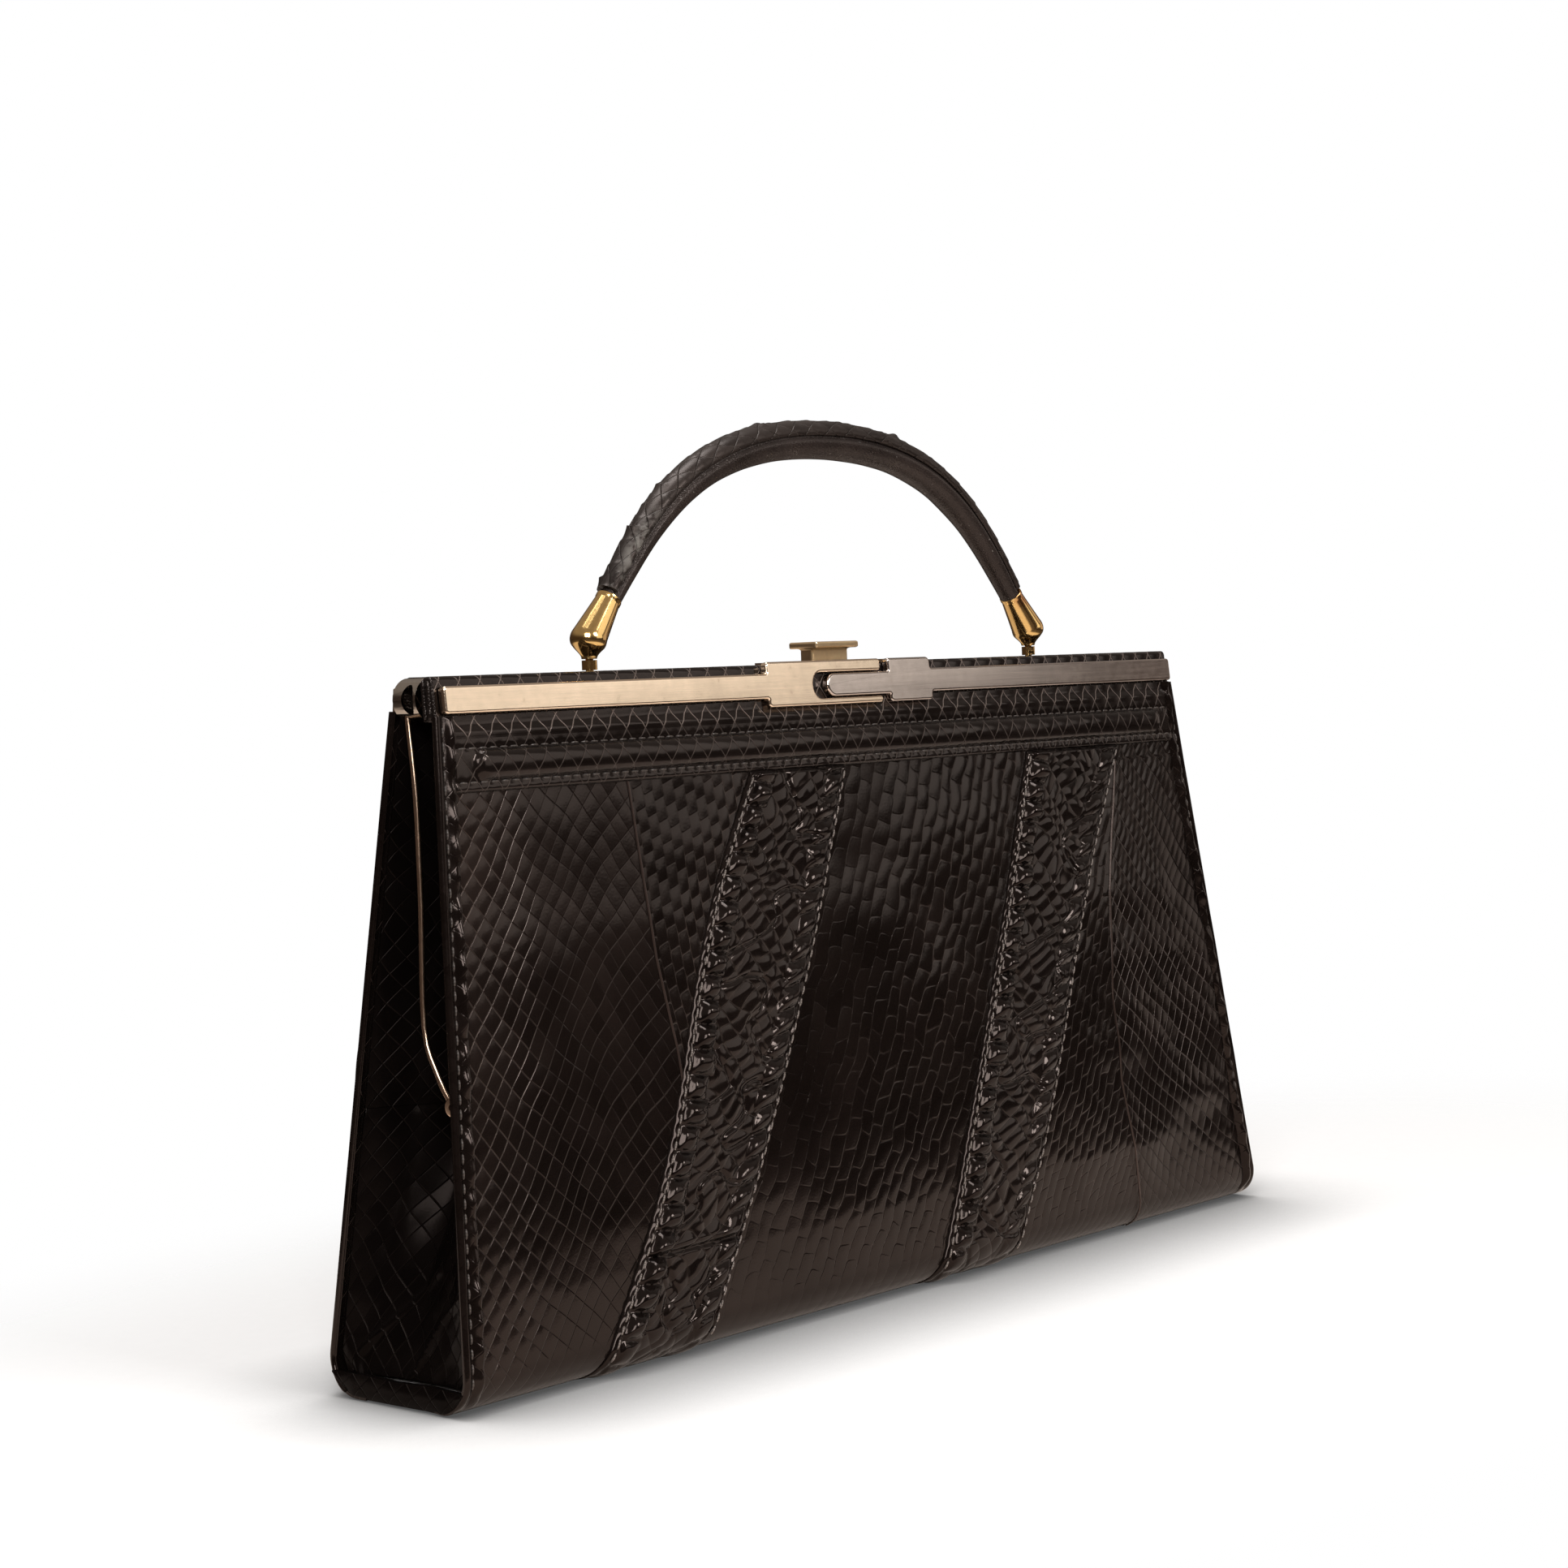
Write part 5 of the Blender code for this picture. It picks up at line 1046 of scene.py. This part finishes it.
def wall_lining(name, side, top, half, body, *nodes):
    """Lining glued inside the front or rear; half gives its half width at a height."""
    t = np.linspace(top, LINING_LOW, 90)[:, None]
    x = np.linspace(-1.0, 1.0, 150)[None, :] * half(t)
    ripple = 0.00018 * wobble(x / 0.02, t / 0.015, 81) + 0.00010 * wobble(x / 0.006, t / 0.005, 82)
    outer = wrapped_face(side, FRONT_CORNER, x, t, LINING_OUT)
    inner = wrapped_face(side, FRONT_CORNER, x, t, LINING_IN + ripple)
    piece = shell(name, outer, inner, LINING, NO_SCALES)
    declare(piece, "lining", body, *nodes)
    return piece


def linings():
    rear = wall_lining("rear_lining", 1, 0.1575, lambda t: half_width(t) - 0.0034, "rear_body", "lining_rear")
    front = wall_lining("front_lining", -1, 0.1500, lambda t: leg_x(t) - 0.0040, None,
                        "lining_front_lower", "lining_front_upper")
    low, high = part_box("lining_base")
    y, x = np.broadcast_arrays(np.linspace(low[1], high[1], 24)[:, None], np.linspace(low[0], high[0], 150))
    outer = np.stack([x, y, high[2] + 0.00015 * wobble(x / 0.02, y / 0.01, 83)], axis=-1)
    inner = np.stack([x, y, np.full_like(x, low[2])], axis=-1)
    base = shell("base_lining", outer, inner, LINING, NO_SCALES)
    declare(base, "lining", "rear_body", "lining_base")


# Leather covers of the two frames

COVER_ENDS = ((-0.0006, 1.0), (0.0, 1.0), (0.00035, 0.93), (0.0005, 0.80))


def cover_path(left, right, left_slant, right_slant, steps=6):
    """Outer line of a cover from its front foot over the top to its rear foot, and its inner line."""
    top, foot = FRAME_TOP, FRAME_TOP - COVER_DROP
    r = COVER_ROUND
    path = []
    for f in np.arange(8) / 8:
        path.append((left - left_slant * (1 - f), foot + (top - r - foot) * f, -1.0, 0.0))
    for a in np.linspace(math.pi, math.pi / 2, steps + 1):
        path.append((left + r + r * math.cos(a), top - r + r * math.sin(a), math.cos(a), math.sin(a)))
    for f in np.arange(1, 5) / 5:
        path.append((left + r + (right - left - 2 * r) * f, top, 0.0, 1.0))
    for a in np.linspace(math.pi / 2, 0.0, steps + 1):
        path.append((right - r + r * math.cos(a), top - r + r * math.sin(a), math.cos(a), math.sin(a)))
    for f in np.arange(1, 9) / 8:
        path.append((right + right_slant * f, top - r + (foot - top + r) * f, 1.0, 0.0))
    path = np.array(path)
    return path[:, :2], path[:, :2] - path[:, 2:] * COVER_THICKNESS


def cover(name, node, lines, half, body, opening=None):
    outer_line, inner_line = lines
    xs = np.linspace(-half, half, 260)[None, :]
    run = run_along(outer_line)[:, None]
    a = xs / 0.0067 + 0.06 * wobble(xs / 0.012, run / 0.01, 91)
    b = run / 0.0098 + 0.05 * wobble(xs / 0.012, run / 0.01, 92)
    outer, inner = [np.stack(np.broadcast_arrays(xs, line[:, :1], line[:, 1:]), axis=-1)
                    for line in (outer_line, inner_line)]
    relief = 0.00007 * scale_dome(a, b, 1.0)
    outer = outer + (outer - inner) / COVER_THICKNESS * relief[..., None]
    piece = shell(name, outer, inner, YOKE_SKIN, [(a, b, 1.0, 0.9, 0.0, 1.0)])
    if opening is not None:
        carve(piece, *opening)
    declare(piece, "snakeskin", body, node)
    middle = outer_line.mean(axis=0)
    for word, side in SIDES:
        rings = []
        for offset, scale in COVER_ENDS:
            ring = middle + (outer_line - middle) * scale
            rings.append([(side * (half + offset), y, z) for y, z in ring])
        declare(tube(f"{name}_end_{word}", rings, LEATHER), "smooth_leather", body)


def covers():
    slant = face_depth(FRAME_TOP - COVER_DROP) - face_depth(FRAME_TOP - COVER_ROUND)
    front = cover_path(-FACE_DEPTH_TOP, PARTING_Y - PARTING_GAP / 2, slant, 0.0)
    cover("front_cover_skin", "front_frame_cover", front, FRONT_COVER_HALF, "front_frame")
    half_x, half_y, centre_y = KNOB_SLOT
    opening = [(turn * half_x, centre_y + turn * half_y, FRAME_TOP + turn * 0.003) for turn in (-1, 1)]
    rear = cover_path(PARTING_Y + PARTING_GAP / 2, FACE_DEPTH_TOP, 0.0, slant)
    cover("rear_cover_skin", "rear_frame_cover", rear, REAR_COVER_HALF, "rear_body", opening)


def carve(piece, low, high):
    """Cuts a box-shaped opening through a piece."""
    work = bmesh.new()
    bmesh.ops.create_cube(work, size=1.0)
    low, high = Vector(low), Vector(high)
    bmesh.ops.scale(work, vec=high - low, verts=work.verts)
    bmesh.ops.translate(work, vec=(low + high) / 2, verts=work.verts)
    mesh = bpy.data.meshes.new("opening")
    work.to_mesh(mesh)
    work.free()
    cutter = link("opening", mesh)
    boolean = piece.modifiers.new("opening", "BOOLEAN")
    boolean.operation = "DIFFERENCE"
    boolean.solver = "EXACT"
    boolean.object = cutter
    graph = bpy.context.evaluated_depsgraph_get()
    result = bpy.data.meshes.new_from_object(piece.evaluated_get(graph))
    piece.modifiers.clear()
    piece.data = result
    bpy.data.objects.remove(cutter, do_unlink=True)


# Handle

FORWARD = np.array([0.0, -1.0, 0.0])
GRIP_SINK = 0.0010
STRIP_END_SHARE = 0.985
STRIP_THICKNESS = 0.00085
LOOSE_SHARE = 0.62


def ferrule_axis(side):
    """Foot of the ferrule's leaning axis, and the direction up it."""
    foot = np.array([side * FERRULE_AXIS_X, POST_Y, FRAME_TOP + FERRULE_AXIS_RISE])
    return foot, np.array([-side * math.sin(FERRULE_LEAN), 0.0, math.cos(FERRULE_LEAN)])


def arch(u):
    """Centre line of the grip, u from -1 at the left ferrule to 1 at the right one."""
    side = np.where(u > 0, 1.0, -1.0)[:, None]
    mirror = np.where(u[:, None] > 0, 1.0, (-1.0, 1.0, 1.0))
    s = np.abs(u)[:, None]
    t = 1.0 - s
    foot, up = ferrule_axis(1)
    end = (foot + up * FERRULE_LENGTH) * mirror
    pulled = (foot + up * (FERRULE_LENGTH + GRIP_END_PULL)) * mirror
    apex = np.array([[0.0, POST_Y, FRAME_TOP + GRIP_APEX]])
    level = apex + side * (GRIP_APEX_PULL, 0.0, 0.0)
    return end * s ** 3 + pulled * (3 * s * s * t) + level * (3 * s * t * t) + apex * t ** 3


def grip_rings(u, angles):
    """Run and radius of the grip at each u, and a function for the points round it at some distance."""
    centre = arch(u)
    ahead = arch(np.minimum(u + 0.004, 1.0)) - arch(np.maximum(u - 0.004, -1.0))
    ahead /= np.linalg.norm(ahead, axis=1, keepdims=True)
    outward = np.stack([-ahead[:, 2], 0 * ahead[:, 0], ahead[:, 0]], axis=1)
    radius = GRIP_END_RADIUS + (GRIP_MIDDLE_RADIUS - GRIP_END_RADIUS) * (1.0 - np.abs(u) ** GRIP_TAPER)

    def points(length):
        return (centre[:, None] + outward[:, None] * (np.cos(angles) * length)[..., None]
                + FORWARD * (np.sin(angles) * length)[..., None])

    return run_along(centre)[:, None], radius[:, None], points


def grip_tube():
    angles = around(48)[None, :]
    run, radius, points = grip_rings(np.linspace(-1.0, 1.0, 240), angles)
    off_top = np.minimum(angles, 2 * np.pi - angles)
    swollen = radius + 0.0007 * unit((off_top - STRIP_HALF_ANGLE) / 0.3)
    groove = 0.0006 * hump(off_top - STRIP_HALF_ANGLE - 0.10, 0.10)
    soft = 0.00008 * wobble(run / 0.010, angles / (2 * np.pi) * 8, 101, 8)
    rings = points(swollen - groove + soft)
    first, last = [rings[end] - ferrule_axis(side)[1] * GRIP_SINK for end, side in ((0, -1), (-1, 1))]
    grip = tube("grip_leather_tube", np.concatenate([first[None], rings, last[None]]), GRIP_LEATHER)
    declare(grip, "smooth_leather", "rear_body", "handle_grip")


def grip_strip():
    """Snakeskin along the grip's outside, with some scales that lift at one end."""
    angles = np.linspace(-STRIP_HALF_ANGLE, STRIP_HALF_ANGLE, 34)[None, :]
    run, radius, points = grip_rings(np.linspace(-STRIP_END_SHARE, STRIP_END_SHARE, 300), angles)
    a = angles + 0.12 * wobble(run / 0.01, angles, 102)
    b = run / 0.0078 + 0.15 * wobble(run / 0.012, angles, 103)
    thick = STRIP_THICKNESS * (1.0 - np.abs(angles / STRIP_HALF_ANGLE) ** 8)
    column, row = np.round(a), np.round(b)
    lottery = np.abs(np.sin(column * 12.9898 + row * 78.233) * 43758.5453) % 1.0
    flap = unit((lottery - LOOSE_SHARE) / (1.0 - LOOSE_SHARE)) * unit(b - row + 0.5) ** 3
    flap = flap * unit(1.0 - (2 * (a - column)) ** 2)
    lifted = 0.00020 * unit(b - np.floor(b)) ** 2 + 0.0013 * flap
    relief = (0.0001 * scale_dome(a, b, 1.0) + lifted) * (thick > 0.0003)
    outer, inner = points(radius + 0.0003 + thick + relief), points(radius + 0.0002 + 0 * angles)
    worn = hump(outer[..., 0] + 0.077, 0.007) * hump(angles - 0.9, 0.5)
    strip = shell("grip_snakeskin_strip", outer, inner, STRIP_SKIN, [(a, b, 1.0, 1.0, worn, 1.0)])
    declare(strip, "snakeskin", "rear_body", "handle_strip")


def smooth_line(values, rounds=3):
    """Line of points with its corners cut off again and again, ends kept."""
    line = np.asarray(values, float)
    for _ in range(rounds):
        first = line[:-1] * 0.75 + line[1:] * 0.25
        second = line[:-1] * 0.25 + line[1:] * 0.75
        cut = np.stack([first, second], axis=1).reshape(-1, line.shape[1])
        line = np.concatenate([line[:1], cut, line[-1:]])
    return line


# Radius of the ferrule's rolled mouth, and its depth below the rim
FERRULE_MOUTH = ((0.00325, -0.0001), (0.00300, 0.0), (0.00292, 0.0012))


def ferrules():
    angles = around(56)
    for word, side in SIDES:
        foot, up = ferrule_axis(side)
        out = side * np.array([math.cos(FERRULE_LEAN), 0.0, side * math.sin(FERRULE_LEAN)])
        pairs = [[side * (POST_X + in_x), FRAME_TOP + in_z, side * (POST_X + out_x), FRAME_TOP + out_z]
                 for (in_x, in_z), (out_x, out_z) in FERRULE_FOOT]
        for height, radius in FERRULE_BODY:
            near, far = foot + up * height - out * radius, foot + up * height + out * radius
            pairs.append([near[0], near[2], far[0], far[2]])
        rings = []
        for x1, z1, x2, z2 in np.concatenate([smooth_line(pairs[:9]), np.array(pairs[9:])]):
            near, far = np.array([x1, POST_Y, z1]), np.array([x2, POST_Y, z2])
            middle, reach = (near + far) / 2, (far - near) / 2
            depth = np.array([0.0, np.linalg.norm(reach), 0.0])
            rings.append([middle + reach * math.cos(a) + depth * math.sin(a) for a in angles])
        for radius, drop in FERRULE_MOUTH:
            middle = foot + up * (FERRULE_LENGTH - drop)
            rings.append([middle + (out * math.cos(a) - FORWARD * math.sin(a)) * radius for a in angles])
        piece = tube(f"ferrule_bell_{word}", rings, GOLD, 50.0)
        declare(piece, "gold", "rear_body", f"handle_ferrule_{word}")


# Trim bars and clasp plates, with rounded corners and bevelled rims

TRIM_OUT = 0.0003
TRIM_FACE = 0.0023
TRIM_BEVEL = 0.0007
BEVEL_STEPS = 5
TRIM_END = 0.1512
BAR_LOW, BAR_HIGH = 0.1616, 0.1683
PLATE_LOW, PLATE_HIGH = 0.1593, 0.1714
LEFT_PLATE = (-0.0366, 0.0106)
SLOT_LEFT, SLOT_LOW, SLOT_HIGH, SLOT_RADIUS = -0.0183, 0.1612, 0.1681, 0.00344
RIGHT_PLATE = (0.0140, 0.0325)
TONGUE_END, TONGUE_LOW, TONGUE_HIGH, TONGUE_RADIUS = -0.0124, 0.1615, 0.1678, 0.00314


def rounded_outline(corners, steps=7):
    """Closed outline through (x, z, radius) corners."""
    line = []
    for k, (x, z, radius) in enumerate(corners):
        here = np.array([x, z])
        after = corners[(k + 1) % len(corners)]
        back, ahead = np.array(corners[k - 1][:2]) - here, np.array(after[:2]) - here
        reach = min(np.linalg.norm(back), np.linalg.norm(ahead)) * 0.499
        back, ahead = back / np.linalg.norm(back), ahead / np.linalg.norm(ahead)
        half = math.acos(float(np.clip(back @ ahead, -1.0, 1.0))) / 2
        length = min(radius / math.tan(half), reach)
        centre = here + (back + ahead) / np.linalg.norm(back + ahead) * length / math.cos(half)
        start, end = here + back * length - centre, here + ahead * length - centre
        first = math.atan2(start[1], start[0])
        sweep = (math.atan2(end[1], end[0]) - first + math.pi) % (2 * math.pi) - math.pi
        turns = first + sweep * np.arange(steps + 1) / steps
        line.append(centre + np.linalg.norm(start) * np.stack([np.cos(turns), np.sin(turns)], axis=1))
    return np.concatenate(line)


def inset_outline(points, distance):
    back, ahead = points - np.roll(points, 1, axis=0), np.roll(points, -1, axis=0) - points
    back /= np.linalg.norm(back, axis=1, keepdims=True)
    ahead /= np.linalg.norm(ahead, axis=1, keepdims=True)
    one, two = np.stack([-back[:, 1], back[:, 0]], axis=1), np.stack([-ahead[:, 1], ahead[:, 0]], axis=1)
    return points + (one + two) / (1.0 + np.sum(one * two, axis=1, keepdims=True)) * distance


def even_faces(piece):
    """Large flat faces keep their own direction, and the bevels between them carry the turn."""
    weights = piece.modifiers.new("even_faces", "WEIGHTED_NORMAL")
    weights.keep_sharp = True
    weights.weight = 100


def trim_plate(name, corners, material):
    outline = rounded_outline(corners)
    rings = [front_face(*outline.T, TRIM_OUT)]
    for turn in np.linspace(0.0, math.pi / 2, BEVEL_STEPS + 1):
        moved = inset_outline(outline, TRIM_BEVEL * (1.0 - math.cos(turn)))
        rings.append(front_face(*moved.T, TRIM_FACE - TRIM_BEVEL * (1.0 - math.sin(turn))))
    piece = tube(name, rings, material)
    even_faces(piece)
    return piece


def trim_lip(name, left, right, material):
    """Part of a clasp plate that folds over the top of the frame."""
    front, back = -face_depth(0.1710) - 0.0016, PARTING_Y - 0.0006
    y, x = np.broadcast_arrays(np.linspace(front, back, 6)[:, None], np.linspace(left, right, 12))
    outer, inner = [np.stack([x, y, np.full_like(x, z)], axis=-1) for z in (PLATE_HIGH, PLATE_HIGH - 0.00054)]
    return shell(name, outer, inner, material, NO_SCALES)


def clasp():
    near, far = LEFT_PLATE
    left = ((-TRIM_END, BAR_LOW, 0.0010), (near, BAR_LOW, 0.0006), (near, PLATE_LOW, 0.0015),
            (far, PLATE_LOW, 0.0009), (far, SLOT_LOW, 0.0008), (SLOT_LEFT, SLOT_LOW, SLOT_RADIUS),
            (SLOT_LEFT, SLOT_HIGH, SLOT_RADIUS), (far, SLOT_HIGH, 0.0008), (far, PLATE_HIGH, 0.0008),
            (near, PLATE_HIGH, 0.0012), (near, BAR_HIGH, 0.0006), (-TRIM_END, BAR_HIGH, 0.0010))
    near, far = RIGHT_PLATE
    right = ((TONGUE_END, TONGUE_LOW, TONGUE_RADIUS), (near, TONGUE_LOW, 0.0004), (near, PLATE_LOW, 0.0012),
             (far, PLATE_LOW, 0.0013), (far, BAR_LOW, 0.0006), (TRIM_END, BAR_LOW, 0.0010),
             (TRIM_END, BAR_HIGH, 0.0010), (far, BAR_HIGH, 0.0006), (far, PLATE_HIGH, 0.0014),
             (near, PLATE_HIGH, 0.0009), (near, TONGUE_HIGH, 0.0004),
             (TONGUE_END, TONGUE_HIGH, TONGUE_RADIUS))
    for word, corners, material, slot, span in (("left", left, CHAMPAGNE, "champagne", (-0.0352, 0.0098)),
                                                ("right", right, SILVER, "silver", (0.0150, 0.0312))):
        plate = trim_plate(f"trim_{word}", corners, material)
        fold = trim_lip(f"trim_lip_{word}", *span, material)
        for piece in (plate, fold):
            declare(piece, slot, "front_frame", f"clasp_{word}")


BEAD_LOW, BEAD_HIGH = 0.1605, 0.1700
BEAD_SLANT = 0.06
# Name, y, x and radius
END_BEADS = (("a", -0.0060, 0.1525, 0.00075), ("b", -0.0044, 0.1527, 0.00065))


def end_beads():
    """Piped edges of the front frame's leather, carried up round its two ends."""
    z = np.linspace(BEAD_LOW, BEAD_HIGH, 40)[:, None]
    share = (z - BEAD_LOW) / (BEAD_HIGH - BEAD_LOW)
    angles = around(12)
    for word, side in SIDES:
        for edge, y, x, radius in END_BEADS:
            size = radius * np.sqrt(np.clip(1.0 - (2 * share - 1.0) ** 12, 0.02, 1.0))
            size = size * (1.0 + 0.10 * wobble(z / 0.0015, y / 0.001, 95))
            across = side * (x + size * np.cos(angles))
            deep = y + (z - BEAD_LOW) * BEAD_SLANT + size * np.sin(angles)
            rings = np.stack(np.broadcast_arrays(across, deep, z), axis=-1)
            declare(tube(f"frame_bead_{word}_{edge}", rings, LEATHER), "smooth_leather", "front_frame")


# Metal pieces take the CAD shape with welded corners and smooth shading


def polish(node, material, body, slot, angle=34.0, soften=0.0):
    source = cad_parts[node]
    work = bmesh.new()
    work.from_mesh(source.data)
    work.transform(source.matrix_world)
    bmesh.ops.remove_doubles(work, verts=work.verts, dist=0.000002)
    bmesh.ops.dissolve_limit(work, angle_limit=math.radians(0.5), verts=work.verts, edges=work.edges)
    bmesh.ops.recalc_face_normals(work, faces=work.faces)
    mesh = bpy.data.meshes.new(node + "_finish")
    work.to_mesh(mesh)
    work.free()
    piece = new_piece(node + "_finish", mesh, material, angle)
    if soften:
        bevel = piece.modifiers.new("soften", "BEVEL")
        bevel.width = soften
        bevel.segments = 2
        bevel.limit_method = "ANGLE"
        bevel.angle_limit = math.radians(40.0)
    even_faces(piece)
    declare(piece, slot, body, node)
    return piece


def metals():
    polish("rear_trim_bar", CHAMPAGNE, "rear_body", "champagne")
    polish("catch_plate", STEEL, "knob", "steel", soften=0.00015)
    polish("latch_bridge", STEEL, "rear_body", "steel", soften=0.0001)
    polish("keeper_plate", STEEL, "front_frame", "steel", soften=0.0001)
    polish("front_frame_bar", STEEL, "front_frame", "steel", soften=0.0002)
    polish("rear_frame_rail", STEEL, "rear_body", "steel")
    spring = polish("knob_spring", STEEL, "rear_body", "steel")
    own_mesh(spring)
    polish("release_knob", KNOB_GOLD_PAINTED_LIGHT, "knob", "gold", angle=16.0)
    for word, _ in SIDES:
        polish(f"end_box_{word}", BOX_SILVER, "rear_body", "silver", soften=0.00012)
        polish(f"stay_arm_{word}", WIRE_GOLD, "rear_body", "gold", angle=50.0)
        polish(f"stay_rivet_{word}", WIRE_GOLD, "rear_body", "gold", angle=50.0)
        polish(f"handle_post_{word}", GOLD, "rear_body", "gold", angle=50.0)
    for material_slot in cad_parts["base_board"].material_slots:
        material_slot.material = BOARD


# Room, lamps and floor

FLOOR_LIGHT, FLOOR_PALE = (0.79, 0.79, 0.79, 1.0), (0.82, 0.82, 0.82, 1.0)
FLOOR_MIRRORED = (0.76, 0.66, 0.59, 1.0)
FLOOR_BEYOND = (0.085, 0.068, 0.060, 1.0)
FLOOR_RADIUS = 4.0
ROOM_LOW, ROOM_HIGH = (0.060, 0.043, 0.036, 1.0), (0.30, 0.262, 0.235, 1.0)
SCREEN, SCREEN_WAY = (1.18, 1.11, 1.04, 1.0), (0.52, -0.83, 0.21)
WALL, WALL_WAY = (0.60, 0.50, 0.44, 1.0), (0.972, -0.220, 0.05)
LAMP_TARGET = Vector((0.0, 0.0, 0.1))


def make_floor():
    g = Graph("pale_floor")
    place = g.place()
    colour = g.mix(g.noise(240.0, 3.0, place), FLOOR_LIGHT, FLOOR_PALE)
    # Painted contact shadow: the floor seen by the camera is darkened where the bag closes over it
    painted_contact_shadow = g.add("AmbientOcclusion", {"Distance": 0.05}, output=1)
    colour = g.dim(colour, g.math("POWER", painted_contact_shadow, 1.6))
    camera_ray = g.add("LightPath", {})
    spot = g.node("SeparateXYZ", {0: place}).outputs
    along, deep = g.times(spot[0], 0.5), spot[1]
    near = g.math("SQRT", g.plus(g.times(along, along), g.times(deep, deep)))
    away = g.add("VectorMath", {0: place}, output=1, operation="LENGTH")
    # The room is darker beyond the pale sheet that the bag stands on, which only its reflections show
    beyond = g.times(g.between(away, 0.30, 0.50), g.minus(1.0, camera_ray))
    colour = g.mix(beyond, g.mix(camera_ray, FLOOR_MIRRORED, colour), FLOOR_BEYOND)
    diffuse = g.add("BsdfDiffuse", {"Color": colour})
    glow = g.add("Emission", {"Color": WHITE, "Strength": g.times(camera_ray, 0.08)})
    lit = g.add("AddShader", {0: diffuse, 1: glow})
    clear = g.add("BsdfTransparent", {"Color": WHITE})
    fade = g.times(g.between(near, 0.09, 0.24), camera_ray)
    g.node("OutputMaterial", {0: g.add("MixShader", {0: fade, 1: lit, 2: clear})})
    mesh = bpy.data.meshes.new("floor")
    ring = [(FLOOR_RADIUS * math.cos(angle), FLOOR_RADIUS * math.sin(angle), 0.0) for angle in around(64)]
    mesh.from_pydata(ring, [], [tuple(range(len(ring)))])
    mesh.materials.append(g.material)
    floor = link("floor", mesh)
    floor.location = (0.0, 0.0, FLOOR_Z)


def make_world():
    world = bpy.data.worlds.new("studio")
    bpy.context.scene.world = world
    world.use_nodes = True
    g = Graph(tree=world.node_tree)
    way = g.node("TexCoord", {}).outputs["Generated"]
    level = g.add("SeparateXYZ", {0: way}, output=2)

    def toward(direction):
        return g.add("VectorMath", {0: way, 1: direction}, output=1, operation="DOT_PRODUCT")

    room = g.mix(g.between(level, 0.16, 0.60), ROOM_LOW, ROOM_HIGH)
    # A pale screen in front of the bag, which its trim mirrors and its lower face doesn't
    screen = g.times(g.between(toward(SCREEN_WAY), 0.926, 0.934), g.between(level, 0.108, 0.128))
    room = g.mix(screen, room, SCREEN)
    # A low warm wall to the right, which only the rolled right-hand edge mirrors
    room = g.mix(g.between(toward(WALL_WAY), 0.942, 0.968), room, WALL)
    seen = g.node("LightPath", {}).outputs
    direct = g.math("MAXIMUM", seen["Is Camera Ray"], seen["Is Transmission Ray"])
    g.node("OutputWorld", {0: g.add("Background", {0: g.mix(direct, room, WHITE), 1: 1.0})})


def lamp(name, place, size, power):
    data = bpy.data.lights.new(name, "AREA")
    data.shape = "RECTANGLE"
    data.size = size
    data.size_y = size
    data.energy = power
    light = link(name, data)
    light.location = place
    light.rotation_euler = (LAMP_TARGET - Vector(place)).to_track_quat("-Z", "Y").to_euler()


def build():
    front_skin()
    rear_skin()
    for word, side in SIDES:
        edge_strip(f"front_edge_{word}", side, front_face, STRIP_TOP, None)
        edge_strip(f"rear_edge_{word}", side, rear_face, REAR_STRIP_TOP, "rear_body")
    yoke()
    band("left", LEFT_BAND, fullness=(0.0030, 0.0017), join=0.0265)
    band("right", RIGHT_BAND, fullness=(0.0031, 0.0014))
    join_welt("left_skin_join", left_join_x, low=0.066, high=YOKE_BOTTOM)
    join_welt("right_skin_join", right_join_x, low=-0.002, high=0.1380)
    base_pieces()
    for word, side in SIDES:
        gusset(word, side)
    linings()
    covers()
    grip_tube()
    grip_strip()
    ferrules()
    clasp()
    end_beads()
    metals()


make_camera()
build()
make_floor()
make_world()
lamp("overhead", (0.0, 0.15, 1.30), size=0.60, power=9.0)
lamp("left_side", (-1.05, -0.80, 0.85), size=0.70, power=13.0)
lamp("front_fill", (0.10, -1.30, 0.95), size=0.45, power=10.0)
bpy.context.scene.view_settings.view_transform = "Standard"
